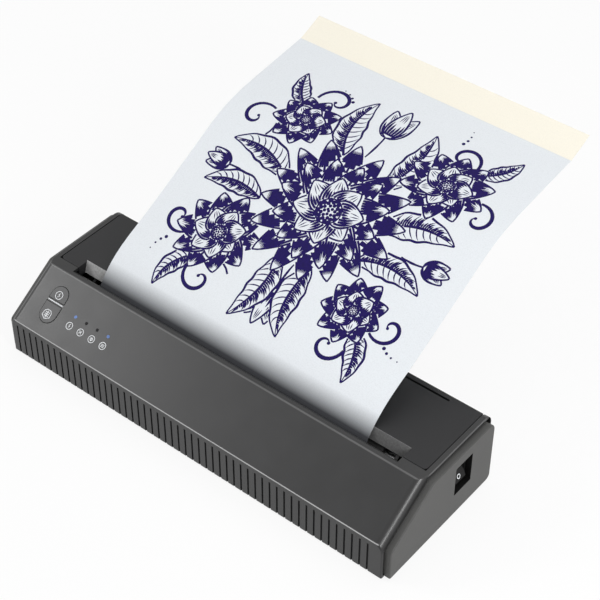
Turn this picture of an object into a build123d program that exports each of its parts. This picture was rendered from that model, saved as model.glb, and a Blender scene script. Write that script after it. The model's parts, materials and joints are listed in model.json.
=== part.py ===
from build123d import *
from math import acos, cos, degrees, pi, radians, sin, sqrt, tan
import os

os.makedirs("parts", exist_ok=True)

# Thermal stencil copier, in millimetres. X runs along the machine, Y to the rear, Z up.
# The origin lies on the base's underside, midway along the machine and FRONT_REACH behind
# its front. The rubber feet reach below it.

# ---------------------------------------------------------------- driving dimensions
# Shell outline
SHELL_LENGTH = 292.8
SHELL_DEPTH = 100.0
FRONT_REACH = 50.0
FRONT_HEIGHT = 27.6
DECK_HEIGHT = 50.8
SLOPE_ANGLE = 33.2
SHELL_WALL = 2.0
DECK_WALL = 2.2
FLOOR_THICKNESS = 2.2
SIDE_WALL = 1.65
SLOPE_SIDE_RADIUS = 5.5
FRONT_EDGE_RADIUS = 1.2
SEAT_GAP = 0.15

# End caps, the dark reveal groove around them and the rims that stand behind the rear wall
REVEAL_DEPTH = 2.0
CAP_PROUD = 3.8
CAP_WALL = 1.8
CAP_REAR_PROUD = 1.5
CAP_FRONT_INSET = 3.0
CAP_SLOPE_INSET = 5.8
CAP_TOP_INSET = 3.3
LIP_FRONT = 1.4
LIP_SLOPE = 4.6
LIP_TOP = 1.3
LIP_REAR = 1.2
SILL_HEIGHT = 2.0
RIM_REAR_PROUD = 3.3
RIM_TOP_RADIUS = 7.0
RIM_BOTTOM_RADIUS = 4.0
RIM_EDGE_RADIUS = 0.7
CAP_FRONT_RADIUS = 3.5
CAP_FOOT_RADIUS = 1.2
CAP_RIDGE_RADIUS = 3.5
CAP_REAR_TOP_RADIUS = 6.0
CAP_REAR_BOTTOM_RADIUS = 4.0
CAP_EDGE_RADIUS = 0.8
CAP_INNER_RADIUS = 0.4

# Ribs on the front wall, measured from the shell's ends
GROOVE_COUNT = 52
GROOVE_WIDTH = 1.3
GROOVE_DEPTH = 1.0
GROOVE_TOP_DROP = 3.6
FIRST_GROOVE = 5.75
LAST_GROOVE = 10.12

# Lid, its front notch, the rear inlet slit and the hinge. The places along Y are measured
# back from the top of the slope or forward from the rear, and heights down from the deck.
LID_SIDE_MARGIN = 4.05
LID_GAP = 0.4
LID_FRONT_BEHIND_SLOPE = 8.15
LID_REAR_INSET = 0.3
LID_SKIRT_DROP = 7.6
LID_CORNER_RADIUS = 3.0
LID_EDGE_RADIUS = 0.5
NOTCH_END_MARGIN = 19.8
NOTCH_REAR_BEHIND_SLOPE = 16.15
NOTCH_WALL_DEPTH = 13.4
RIM_BEHIND_SLOPE = 5.05
RIM_CHAMFER = 2.0
RIM_CHAMFER_DROP = 1.6
SLIT_END_MARGIN = 24.9
SLIT_WIDTH = 1.5
SLIT_BEFORE_REAR = 4.45
HINGE_BEFORE_REAR = 3.4
HINGE_DROP = 4.8
HINGE_PIN_RADIUS = 1.25
KNUCKLE_RADIUS = 3.1
KNUCKLE_LENGTH = 7.5
REAR_WALL_DROP = 9.3
RUNNING_CLEARANCE = 0.05

# Steep strip at the back of the paper slot, over which the sheet is torn
STRIP_PROUD = 0.6
STRIP_LEAN = 2.6
STRIP_TOP_THICKNESS = 0.3
STRIP_FOOT_THICKNESS = 2.4
STRIP_LEDGE = 2.0

# Platen roller and its sheet-metal frame under the lid
PLATEN_BEHIND_SLOPE = 16.55
PLATEN_DROP = 17.8
PLATEN_RADIUS = 7.0
SHAFT_RADIUS = 3.0
BUSHING_RADIUS = 5.0
BUSHING_PROUD = 0.5
SHAFT_CHAMFER = 0.5
EAR_BEFORE_FRAME = 6.0
EAR_THICKNESS = 2.0
EAR_RADIUS = 7.5
EAR_FRONT_HALF_WIDTH = 4.0
EAR_SHOULDER_DROP = 3.5
PLATEN_BEFORE_EAR = 9.0
WEB_THICKNESS = 1.2
WEB_FRONT_GAP = 3.0
WEB_DEPTH = 7.4

# Print head, heat sink and springs
NIP_GAP = 0.3
BEAD_RADIUS = 1.3
HEAD_PLATE_DROP = 8.0
HEAD_PLATE_THICKNESS = 2.0
HEAD_PLATE_DEPTH = 17.0
HEAD_PLATE_OFFSET = -0.5
HEAD_BEFORE_PLATEN_END = 1.0
SINK_PAST_PLATEN_END = 3.0
SINK_FRONT_OFFSET = -13.0
SINK_BEFORE_CELLS = 5.8
SINK_THICKNESS = 6.0
SPRING_POST_RADIUS = 1.8
SPRING_POST_RISE = 1.5
SPRING_SOCKET_DEPTH = 3.2
SPRING_WIRE_RADIUS = 0.4
SPRING_CLEARANCE = 0.4
SPRING_TURNS = 7
SPRING_BEFORE_SINK_END = 42.0
SPRING_SIDE_MARGIN = 6.0

# Side frames
FRAME_END_MARGIN = 22.4
FRAME_THICKNESS = 1.5
FRAME_NOTCH_RADIUS = 5.3
FRAME_BEFORE_REAR = 6.0
FRAME_DRIVE_TOP = 28.2
FRAME_SHOULDER_RISE = 5.0
FRAME_SHOULDER_FRONT = 12.0
FRAME_SHOULDER_REAR = 9.0
FRAME_FRONT_RISE = 4.0
FRAME_BEFORE_SINK = 2.0
FRAME_BEFORE_PINION = 10.0
FRAME_REAR_RISE = 7.0
FRAME_REAR_CORNER = 8.0
FRAME_CORNER_DROP = 4.0
FLANGE_DEPTH = 12.0
TAB_LENGTH = 15.0
TAB_WIDTH = 4.0
TAB_INSET = 2.5
FLANGE_BEHIND_SINK_FRONT = 1.0
FRAME_SCREW_INSET = 6.0
FRAME_SCREW_BEFORE_REAR = 8.0

# Gear train, teeth and module
GEAR_MODULE = 0.8
PLATEN_TEETH = 14
IDLER_TEETH = 20
COMPOUND_SMALL_TEETH = 12
COMPOUND_LARGE_TEETH = 28
PINION_TEETH = 12
ADDENDUM = 0.85
DEDENDUM = 1.15
BACKLASH = 0.16
PRESSURE_ANGLE = 20.0
FLANK_STEPS = 4
GEAR_PAST_FRAME = 3.0
GEAR_WIDTH = 3.5
LARGE_GEAR_PAST_FRAME = 7.5
LARGE_GEAR_WIDTH = 3.0
COMPOUND_AXIS_Z = 15.0
PINION_AXIS_Z = 16.0
AXLE_RADIUS = 1.5
GEAR_HUB_RADIUS = 3.5
PINION_HUB_RADIUS = 3.2
RETAINER_WIDTH = 0.8
RETAINER_STEP = 1.0

# Stepper motor
MOTOR_RADIUS = 10.0
MOTOR_LENGTH = 15.0
MOTOR_BOSS_RADIUS = 5.0
MOTOR_SHAFT_RADIUS = 1.0
MOTOR_SHAFT_DEPTH = 8.0
MOTOR_SHAFT_PROUD = 0.5
MOTOR_BORE_DEPTH = 8.2
MOTOR_EDGE_RADIUS = 0.8

# Buttons and indicators: X from the shell's left end, heights up the slope from its foot
BUTTON_FROM_END = 22.75
BUTTON_WIDTH = 13.5
BUTTON_BOTTOM = 8.0
BUTTON_TOP_MARGIN = 8.37
BUTTON_SPLIT_SHARE = 0.5654
BUTTON_BAR = 1.8
BUTTON_GAP = 0.3
BUTTON_PROUD = 0.35
BUTTON_FLANGE = 0.7
BUTTON_FLANGE_THICKNESS = 0.9
BUTTON_EDGE_RADIUS = 0.25
BUTTON_STEM_RADIUS = 2.0
BUTTON_STEM_INSET = 6.0
BUTTON_STEM_BOTTOM = -4.6
BUTTON_TRAVEL = 0.6
SEPARATOR_WIDTH = 0.6
SEPARATOR_LENGTH = 12.4
SEPARATOR_DEPTH = 0.6
SEPARATOR_PROUD = 0.15
LAMP_FROM_END = (41.4, 50.65, 59.9, 69.15)
LAMP_BELOW_SPLIT = 1.3
LAMP_RADIUS = 1.1
LAMP_PROUD = 0.1
CONTROL_BOARD_INSET = 9.0
CONTROL_BOARD_MARGIN = 1.0
CONTROL_BOARD_FROM_END = (12.4, 78.4)
BOARD_THICKNESS = 1.6
TACT_SIZE = 6.0
TACT_PLUNGER_RADIUS = 1.7
TACT_PLUNGER_HEIGHT = 0.7

# Rocker switch in the right end cap
SWITCH_BEHIND_PLATEN = 19.4
SWITCH_DROP = 22.3
RECESS_WIDTH = 16.4
RECESS_HEIGHT = 22.5
RECESS_CORNER_RADIUS = 0.6
BEZEL_WIDTH = 15.6
BEZEL_HEIGHT = 21.6
BEZEL_THICKNESS = 1.8
BEZEL_CORNER_RADIUS = 0.8
SWITCH_BODY_WIDTH = 13.4
SWITCH_BODY_HEIGHT = 19.8
SWITCH_BODY_DEPTH = 12.0
ROCKER_WIDTH = 11.2
ROCKER_RADIUS = 9.0
ROCKER_END_X = 5.2
ROCKER_MIDDLE_X = 3.6
ROCKER_BACK_X = -1.5
ROCKER_AXIS_DEPTH = 4.2
ROCKER_CAVITY_DEPTH = 4.0
ROCKER_TILT = 8.0
ROCKER_GAP = 0.3
ROCKER_PIN_RADIUS = 1.0

# Base
FOOT_RADIUS = 6.0
FOOT_HEIGHT = 1.5
FOOT_CHAMFER = 0.4
FOOT_BESIDE_SCREW = 8.5
FOOT_EDGE_MARGIN = 12.0
SCREW_RADIUS = 1.4
SCREW_HEAD_RADIUS = 2.6
SCREW_HEAD_HEIGHT = 1.2
SCREW_BITE = 1.6
BOARD_SCREW_BITE = 3.0
CASE_SCREW_INSET = 4.25
CASE_SCREW_BEHIND_FRONT = 8.0
CASE_SCREW_BEFORE_REAR = 24.0
CASE_SCREW_LENGTH = 8.0
CASE_SCREW_HOLE = 9.0
BOSS_RADIUS = 3.6
REAR_BOSS_HEIGHT = 12.0

# Boards, battery and ports
BOARD_BOTTOM = 6.0
POST_RADIUS = 3.0
MAIN_BOARD_BEFORE_FRAME = 24.0
MAIN_BOARD_BEHIND_FRONT = 4.0
MAIN_BOARD_BEFORE_SINK = 4.0
BOARD_SCREW_INSET = 5.0
CHIP_SIZE = 14.0
CHIP_HEIGHT = 1.4
DRIVER_LENGTH = 9.0
DRIVER_WIDTH = 6.0
CHIP_PLACE = (-20.0, -1.5)
DRIVER_PLACE = (12.0, 6.5)
SOCKET_PLACES = [(60.0, 8.5), (-60.0, 8.5)]
CAPACITOR_PLACES = [(34.0, -3.5), (44.0, -3.5), (-44.0, -3.5)]
SOCKET_LENGTH = 24.0
SOCKET_WIDTH = 5.0
SOCKET_HEIGHT = 6.0
CAPACITOR_RADIUS = 4.0
CAPACITOR_HEIGHT = 9.0
CELL_RADIUS = 9.2
CELL_LENGTH = 65.0
CELL_BEFORE_REAR = 18.0
CELL_GAP = 0.5
CELL_RAIL_WIDTH = 1.6
CELL_RAIL_GAP = 0.2
CELL_RAIL_HEIGHT = 5.0
CELL_RAIL_OVERHANG = 3.0
PORT_BOARD_PAST_CELLS = 4.0
PORT_BOARD_BEFORE_FRAME = 11.0
PORT_BOARD_BEFORE_REAR = 5.0
PORT_BOARD_DEPTH = 23.0
PORT_POST_INSET = 4.0
PORT_POST_BEFORE_REAR = 22.0
JACK_OFFSET = -10.0
USB_OFFSET = 9.0
PORT_Z = 12.0
PORT_FACE_INSET = 0.6
JACK_RADIUS = 4.0
JACK_BODY_WIDTH = 10.0
JACK_BODY_DEPTH = 13.7
JACK_BORE_RADIUS = 2.8
JACK_PIN_RADIUS = 1.0
JACK_BORE_DEPTH = 9.0
USB_WIDTH = 9.0
USB_HEIGHT = 3.3
USB_DEPTH = 8.0
USB_CORNER_RADIUS = 1.4
USB_SHELL = 0.4
USB_TONGUE = 0.7
USB_TONGUE_MARGIN = 1.3
USB_BORE_DEPTH = 6.0

# Paper guides and the paper sensor. Each guide's corners are (Y, Z) steps: the inlet guide's
# from the platen's axis or the rear, and the exit guide's from the slot's rim and the deck.
GUIDE_BEFORE_REAR = 7.0
GUIDE_FRONT_OFFSET = 12.0
GUIDE_THICKNESS = 1.4
GUIDE_FRONT_DROP = 6.4
GUIDE_BEND_DROP = 12.3
GUIDE_LIP_DROP = 9.8
GUIDE_LIP_LENGTH = 3.0
GUIDE_EDGE_STEP = 1.0
EXIT_GUIDE_END_MARGIN = 26.4
EXIT_GUIDE_THICKNESS = 1.5
EXIT_GUIDE_BEND_DROP = 16.8
EXIT_GUIDE_DROP = 23.8
EXIT_GUIDE_KICK = 1.3
EXIT_GUIDE_GAP = 0.1
SENSOR_BEFORE_FRAME = 34.0
SENSOR_BEHIND_SINK = 2.0
SENSOR_LENGTH = 7.0
SENSOR_WIDTH = 6.0
SENSOR_BELOW_GUIDE = 0.4

# Stencil sheet, leaning back out of the front slot. Its side profile is in (Y, Z) steps from
# the notch's rear edge at the deck: up from the exit guide, over the tear strip and back.
SHEET_END_MARGIN = 41.4
SHEET_X = -4.3
SHEET_THICKNESS = 0.3
HEADER_THICKNESS = 0.45
SHEET_STEPS = [
    (-10.0, -12.2),
    (-6.5, -6.2),
    (-0.75, 0.95),
    (12.4, 11.5),
    (32.6, 21.6),
    (58.9, 35.1),
    (87.2, 49.9),
    (111.9, 62.3),
    (133.4, 68.1),
    (158.4, 71.5),
    (172.4, 73.2),
    (192.4, 75.4),
]
HEADER_STEPS = [(192.48, 75.43), (202.0, 79.2), (211.7, 83.4)]

# ---------------------------------------------------------------- derived places
HALF_LENGTH = SHELL_LENGTH / 2
FRONT_Y = -FRONT_REACH
REAR_Y = FRONT_Y + SHELL_DEPTH
SLOPE_TAN = tan(radians(SLOPE_ANGLE))
SLOPE_COS = cos(radians(SLOPE_ANGLE))
SLOPE_SIN = sin(radians(SLOPE_ANGLE))
SLOPE_TOP_Y = FRONT_Y + (DECK_HEIGHT - FRONT_HEIGHT) / SLOPE_TAN
SLOPE_LENGTH = (DECK_HEIGHT - FRONT_HEIGHT) / SLOPE_SIN
SIDE_FACE_X = HALF_LENGTH - REVEAL_DEPTH
INNER_SIDE_X = SIDE_FACE_X - SIDE_WALL
INNER_FRONT_Y = FRONT_Y + SHELL_WALL
INNER_REAR_Y = REAR_Y - SHELL_WALL
DECK_UNDERSIDE = DECK_HEIGHT - DECK_WALL
CAP_FACE_X = HALF_LENGTH + CAP_PROUD
CAP_REAR_Y = REAR_Y + CAP_REAR_PROUD
RIM_REAR_Y = REAR_Y + RIM_REAR_PROUD
OVERCUT = 1.0

GROOVE_PITCH = (SHELL_LENGTH - FIRST_GROOVE - LAST_GROOVE) / (GROOVE_COUNT - 1)
GROOVE_TOP = FRONT_HEIGHT - GROOVE_TOP_DROP

LID_HALF_LENGTH = HALF_LENGTH - LID_SIDE_MARGIN
LID_FRONT_Y = SLOPE_TOP_Y + LID_FRONT_BEHIND_SLOPE
LID_REAR_Y = REAR_Y - LID_REAR_INSET
LID_UNDERSIDE = DECK_UNDERSIDE
LID_SKIRT_BOTTOM = DECK_HEIGHT - LID_SKIRT_DROP
NOTCH_HALF_LENGTH = HALF_LENGTH - NOTCH_END_MARGIN
NOTCH_REAR_Y = SLOPE_TOP_Y + NOTCH_REAR_BEHIND_SLOPE
RIM_SLOT_Y = SLOPE_TOP_Y + RIM_BEHIND_SLOPE
SLIT_LENGTH = SHELL_LENGTH - 2 * SLIT_END_MARGIN
SLIT_Y = REAR_Y - SLIT_BEFORE_REAR
HINGE_Y = REAR_Y - HINGE_BEFORE_REAR
HINGE_Z = DECK_HEIGHT - HINGE_DROP
REAR_WALL_TOP = DECK_HEIGHT - REAR_WALL_DROP
STRIP_TOP_Z = DECK_HEIGHT + STRIP_PROUD
STRIP_TOP_Y = NOTCH_REAR_Y - STRIP_TOP_THICKNESS
STRIP_FOOT_Y = STRIP_TOP_Y - STRIP_LEAN

FRAME_X = HALF_LENGTH - FRAME_END_MARGIN
FRAME_REAR_Y = REAR_Y - FRAME_BEFORE_REAR
EAR_X = FRAME_X - EAR_BEFORE_FRAME
PLATEN_Y = SLOPE_TOP_Y + PLATEN_BEHIND_SLOPE
PLATEN_Z = DECK_HEIGHT - PLATEN_DROP
PLATEN_AXIS = (PLATEN_Y, PLATEN_Z)
PLATEN_LENGTH = 2 * (EAR_X - PLATEN_BEFORE_EAR)

CELL_Y = REAR_Y - CELL_BEFORE_REAR
HEAD_PLATE_TOP = PLATEN_Z - HEAD_PLATE_DROP
HEAD_PLATE_BOTTOM = HEAD_PLATE_TOP - HEAD_PLATE_THICKNESS
HEAD_LENGTH = PLATEN_LENGTH - 2 * HEAD_BEFORE_PLATEN_END
SINK_LENGTH = PLATEN_LENGTH + 2 * SINK_PAST_PLATEN_END
SINK_FRONT_Y = PLATEN_Y + SINK_FRONT_OFFSET
SINK_REAR_Y = CELL_Y - CELL_RADIUS - SINK_BEFORE_CELLS
SINK_MIDDLE_Y = (SINK_FRONT_Y + SINK_REAR_Y) / 2
SINK_BOTTOM = HEAD_PLATE_BOTTOM - SINK_THICKNESS
SPRING_X = SINK_LENGTH / 2 - SPRING_BEFORE_SINK_END
SPRING_Y_HALF_PITCH = (SINK_REAR_Y - SINK_FRONT_Y) / 2 - SPRING_SIDE_MARGIN

GEAR_PLANE_X = FRAME_X + GEAR_PAST_FRAME
LARGE_GEAR_X = FRAME_X + LARGE_GEAR_PAST_FRAME

BUTTON_X = -HALF_LENGTH + BUTTON_FROM_END
BUTTON_TOP = SLOPE_LENGTH - BUTTON_TOP_MARGIN
BUTTON_SPLIT = BUTTON_BOTTOM + (BUTTON_TOP - BUTTON_BOTTOM) * BUTTON_SPLIT_SHARE
LAMP_X = [-HALF_LENGTH + reach for reach in LAMP_FROM_END]
LAMP_SLOPE = BUTTON_SPLIT - LAMP_BELOW_SPLIT

SWITCH_Y = PLATEN_Y + SWITCH_BEHIND_PLATEN
SWITCH_Z = DECK_HEIGHT - SWITCH_DROP

CASE_SCREW_X = INNER_SIDE_X - CASE_SCREW_INSET
CASE_SCREW_FRONT_Y = FRONT_Y + CASE_SCREW_BEHIND_FRONT
CASE_SCREW_REAR_Y = REAR_Y - CASE_SCREW_BEFORE_REAR
FOOT_X = CASE_SCREW_X - FOOT_BESIDE_SCREW
FOOT_FRONT_Y = FRONT_Y + FOOT_EDGE_MARGIN
FOOT_REAR_Y = REAR_Y - FOOT_EDGE_MARGIN

BOARD_TOP = BOARD_BOTTOM + BOARD_THICKNESS
MAIN_BOARD_LENGTH = 2 * (FRAME_X - MAIN_BOARD_BEFORE_FRAME)
MAIN_BOARD_FRONT_Y = FRONT_Y + MAIN_BOARD_BEHIND_FRONT
MAIN_BOARD_REAR_Y = SINK_FRONT_Y - MAIN_BOARD_BEFORE_SINK
MAIN_BOARD_Y = (MAIN_BOARD_FRONT_Y + MAIN_BOARD_REAR_Y) / 2
PORT_BOARD_INNER_X = -CELL_LENGTH - PORT_BOARD_PAST_CELLS
PORT_BOARD_LENGTH = PORT_BOARD_INNER_X + FRAME_X - PORT_BOARD_BEFORE_FRAME
PORT_BOARD_X = PORT_BOARD_INNER_X - PORT_BOARD_LENGTH / 2
PORT_BOARD_Y = REAR_Y - PORT_BOARD_BEFORE_REAR - PORT_BOARD_DEPTH / 2
JACK_X = PORT_BOARD_X + JACK_OFFSET
USB_X = PORT_BOARD_X + USB_OFFSET

GUIDE_REAR_Y = REAR_Y - GUIDE_BEFORE_REAR
SENSOR_X = FRAME_X - SENSOR_BEFORE_FRAME
SENSOR_Y = SINK_REAR_Y + SENSOR_BEHIND_SINK + SENSOR_WIDTH / 2
GUIDE_FRONT_Y = PLATEN_Y + GUIDE_FRONT_OFFSET
GUIDE_FRONT_Z = PLATEN_Z - GUIDE_FRONT_DROP
GUIDE_BEND_Z = DECK_HEIGHT - GUIDE_BEND_DROP
GUIDE_LIP_Z = DECK_HEIGHT - GUIDE_LIP_DROP
EXIT_GUIDE_Y = RIM_SLOT_Y - EXIT_GUIDE_GAP
EXIT_GUIDE_BEND_Z = DECK_HEIGHT - EXIT_GUIDE_BEND_DROP
EXIT_GUIDE_BOTTOM = DECK_HEIGHT - EXIT_GUIDE_DROP
EXIT_GUIDE_HALF_LENGTH = HALF_LENGTH - EXIT_GUIDE_END_MARGIN
SHEET_WIDTH = SHELL_LENGTH - 2 * SHEET_END_MARGIN

def slope_z(y, inset=0.0):
    """Height at y of the slope, or of a line that lies inset below it."""
    return FRONT_HEIGHT + (y - FRONT_Y) * SLOPE_TAN - inset / SLOPE_COS


def slope_y(z, inset=0.0):
    """Depth at which the slope, or a line inset below it, reaches the height z."""
    return FRONT_Y + (z + inset / SLOPE_COS - FRONT_HEIGHT) / SLOPE_TAN


def wedge_points(front, slope, top, bottom_z, rear_y):
    """The side profile set in from the front, the slope and the deck by the given amounts."""
    front_y = FRONT_Y + front
    top_z = DECK_HEIGHT - top
    return [
        (front_y, bottom_z),
        (front_y, slope_z(front_y, slope)),
        (slope_y(top_z, slope), top_z),
        (rear_y, top_z),
        (rear_y, bottom_z),
    ]


def save(part, name):
    """Labels a finished piece and writes it."""
    part.label = name
    export_step(part, f"parts/{name}.step")


def slope_plane(inset=0.0):
    """The plane of the slope, or one that lies inset below it, with local Y up the slope."""
    origin = (0, FRONT_Y + inset * SLOPE_SIN, FRONT_HEIGHT - inset * SLOPE_COS)
    return Plane(origin=origin, x_dir=(1, 0, 0), z_dir=(0, -SLOPE_SIN, SLOPE_COS))


def side_plane(x):
    """The plane across the machine at x, with local X to the rear and local Y up."""
    return Plane.YZ.offset(x)


CASE_SCREWS = [
    (side * CASE_SCREW_X, y)
    for side in (-1, 1)
    for y in (CASE_SCREW_FRONT_Y, CASE_SCREW_REAR_Y)
]
FEET = [(side * FOOT_X, y) for side in (-1, 1) for y in (FOOT_FRONT_Y, FOOT_REAR_Y)]
SPRINGS = [
    (side * SPRING_X, SINK_MIDDLE_Y + fore * SPRING_Y_HALF_PITCH)
    for side in (-1, 1)
    for fore in (-1, 1)
]
FRAME_SCREWS = [
    (side * (FRAME_X - FRAME_SCREW_INSET), y)
    for side in (-1, 1)
    for y in (SINK_FRONT_Y + FRAME_SCREW_INSET, FRAME_REAR_Y - FRAME_SCREW_BEFORE_REAR)
]
BOARD_SCREWS = [
    (side * (MAIN_BOARD_LENGTH / 2 - BOARD_SCREW_INSET), y)
    for side in (-1, 1)
    for y in (MAIN_BOARD_FRONT_Y + BOARD_SCREW_INSET, MAIN_BOARD_REAR_Y - BOARD_SCREW_INSET)
]
PORT_POSTS = [
    (PORT_BOARD_X + side * (PORT_BOARD_LENGTH / 2 - PORT_POST_INSET), REAR_Y - PORT_POST_BEFORE_REAR)
    for side in (-1, 1)
]
CELL_RAILS = [
    (0, CELL_Y + side * (CELL_RADIUS + CELL_RAIL_GAP + CELL_RAIL_WIDTH / 2)) for side in (-1, 1)
]


def button_outline(bottom, top, grow):
    """Half of the stadium that both buttons share, between two heights on the slope."""
    with BuildSketch(Plane.XY) as outline:
        radius = BUTTON_WIDTH / 2
        with Locations((BUTTON_X, (BUTTON_BOTTOM + BUTTON_TOP) / 2)):
            straight = BUTTON_TOP - BUTTON_BOTTOM
            SlotOverall(straight, 2 * radius, rotation=90)
        with Locations((BUTTON_X, (bottom + top) / 2)):
            Rectangle(2 * BUTTON_WIDTH, top - bottom, mode=Mode.INTERSECT)
        if grow:
            offset(amount=grow)
    return outline.sketch


FEED_BUTTON = button_outline(BUTTON_BOTTOM, BUTTON_SPLIT - BUTTON_BAR / 2, 0)
POWER_BUTTON = button_outline(BUTTON_SPLIT + BUTTON_BAR / 2, BUTTON_TOP, 0)

# ---------------------------------------------------------------- top shell
with BuildPart() as top_shell:
    # Outer wedge: the slope runs on above the deck, so that its side fillets stay straight
    spare_height = DECK_HEIGHT + 2 * SLOPE_SIDE_RADIUS
    with BuildSketch(side_plane(-HALF_LENGTH)):
        with BuildLine():
            Polyline(
                (FRONT_Y, 0),
                (FRONT_Y, FRONT_HEIGHT),
                (slope_y(spare_height), spare_height),
                (RIM_REAR_Y, spare_height),
                (RIM_REAR_Y, 0),
                close=True,
            )
        make_face()
    extrude(amount=SHELL_LENGTH)
    lowest_rear = edges().filter_by(Axis.X).sort_by(lambda e: e.center().Y - e.center().Z)[-1]
    fillet(lowest_rear, RIM_BOTTOM_RADIUS)
    slope_face = faces().filter_by(lambda f: f.normal_at().Y < -0.1 and f.normal_at().Z > 0.1)[0]
    fillet(
        slope_face.edges().filter_by(lambda e: abs(e.center().X) > HALF_LENGTH - 0.1),
        SLOPE_SIDE_RADIUS,
    )
    split(bisect_by=Plane.XY.offset(DECK_HEIGHT), keep=Keep.BOTTOM)
    # Rounded rear edge, then the softened ridge, rims and foot of the front wall
    fillet(faces().sort_by(Axis.Z)[-1].edges().sort_by(Axis.Y)[-1], RIM_TOP_RADIUS)
    fillet(faces().sort_by(Axis.Z)[-1].edges().sort_by(Axis.Y)[:-1], RIM_EDGE_RADIUS)
    fillet(edges().filter_by(Axis.Z).group_by(Axis.Y)[0], FRONT_EDGE_RADIUS)
    # Behind the rear wall only the side walls and their rims stay
    with BuildSketch(side_plane(-INNER_SIDE_X)):
        with Locations((REAR_Y + RIM_REAR_PROUD, DECK_HEIGHT / 2)):
            Rectangle(2 * RIM_REAR_PROUD, DECK_HEIGHT + 2 * OVERCUT)
    extrude(amount=2 * INNER_SIDE_X, mode=Mode.SUBTRACT)
    # Main hollow between the side walls, open below and behind
    with BuildSketch(side_plane(-INNER_SIDE_X)):
        with BuildLine():
            Polyline(
                *wedge_points(SHELL_WALL, SHELL_WALL, DECK_WALL, -OVERCUT, REAR_Y + OVERCUT),
                close=True,
            )
        make_face()
    extrude(amount=2 * INNER_SIDE_X, mode=Mode.SUBTRACT)
    # End pockets behind the thin lips, which leave the reveal groove around the end caps
    for start in (-HALF_LENGTH - OVERCUT, SIDE_FACE_X):
        with BuildSketch(side_plane(start)):
            with BuildLine():
                Polyline(
                    *wedge_points(LIP_FRONT, LIP_SLOPE, LIP_TOP, -OVERCUT, RIM_REAR_Y - LIP_REAR),
                    close=True,
                )
            make_face()
            fillet(vertices().sort_by(lambda v: v.Y + v.Z)[-1], RIM_TOP_RADIUS - LIP_REAR)
            with Locations((FRONT_Y + (CAP_FRONT_INSET - SEAT_GAP) / 2, (SILL_HEIGHT - OVERCUT) / 2)):
                Rectangle(CAP_FRONT_INSET - SEAT_GAP, SILL_HEIGHT + OVERCUT, mode=Mode.SUBTRACT)
        extrude(amount=REVEAL_DEPTH + OVERCUT, mode=Mode.SUBTRACT)
    # Opening for the lid, and the paper slot in front of it with its chamfered rim
    lid_front = LID_FRONT_Y - LID_GAP
    with BuildSketch(Plane.XY.offset(DECK_UNDERSIDE - OVERCUT)):
        with Locations((0, (lid_front + REAR_Y + OVERCUT) / 2)):
            Rectangle(2 * (LID_HALF_LENGTH + LID_GAP), REAR_Y + OVERCUT - lid_front)
    extrude(amount=DECK_WALL + 2 * OVERCUT, mode=Mode.SUBTRACT)
    with BuildSketch(side_plane(-NOTCH_HALF_LENGTH)):
        with BuildLine():
            Polyline(
                (RIM_SLOT_Y - RIM_CHAMFER, DECK_HEIGHT),
                (RIM_SLOT_Y, DECK_HEIGHT - RIM_CHAMFER_DROP),
                (RIM_SLOT_Y, DECK_UNDERSIDE - OVERCUT),
                (LID_FRONT_Y, DECK_UNDERSIDE - OVERCUT),
                (LID_FRONT_Y, DECK_HEIGHT + OVERCUT),
                (RIM_SLOT_Y - RIM_CHAMFER, DECK_HEIGHT + OVERCUT),
                close=True,
            )
        make_face()
    extrude(amount=2 * NOTCH_HALF_LENGTH, mode=Mode.SUBTRACT)
    # Room for the bottom shell's floor and rear wall
    with BuildSketch(side_plane(-SIDE_FACE_X)):
        with BuildLine():
            Polyline(
                (INNER_FRONT_Y, -OVERCUT),
                (INNER_FRONT_Y, FLOOR_THICKNESS),
                (INNER_REAR_Y, FLOOR_THICKNESS),
                (INNER_REAR_Y, REAR_WALL_TOP + SEAT_GAP),
                (REAR_Y, REAR_WALL_TOP + SEAT_GAP),
                (REAR_Y, -OVERCUT),
                close=True,
            )
        make_face()
    extrude(amount=2 * SIDE_FACE_X, mode=Mode.SUBTRACT)
    # Ribs of the front wall
    with BuildSketch(Plane.XZ.offset(-FRONT_Y)):
        for i in range(GROOVE_COUNT):
            groove_x = -HALF_LENGTH + FIRST_GROOVE + i * GROOVE_PITCH
            with Locations((groove_x, (GROOVE_TOP - OVERCUT) / 2)):
                Rectangle(GROOVE_WIDTH, GROOVE_TOP + OVERCUT)
    extrude(amount=-GROOVE_DEPTH, mode=Mode.SUBTRACT)
    # Button and lamp holes, and the seat of the separator bar
    with BuildSketch(slope_plane()):
        add(FEED_BUTTON)
        add(POWER_BUTTON)
        with Locations(*[(x, LAMP_SLOPE) for x in LAMP_X]):
            Circle(LAMP_RADIUS)
    extrude(amount=-SHELL_WALL - OVERCUT, mode=Mode.SUBTRACT)
    with BuildSketch(slope_plane()):
        with Locations((BUTTON_X, BUTTON_SPLIT)):
            Rectangle(SEPARATOR_LENGTH, SEPARATOR_WIDTH)
    extrude(amount=-SEPARATOR_DEPTH, mode=Mode.SUBTRACT)
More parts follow.
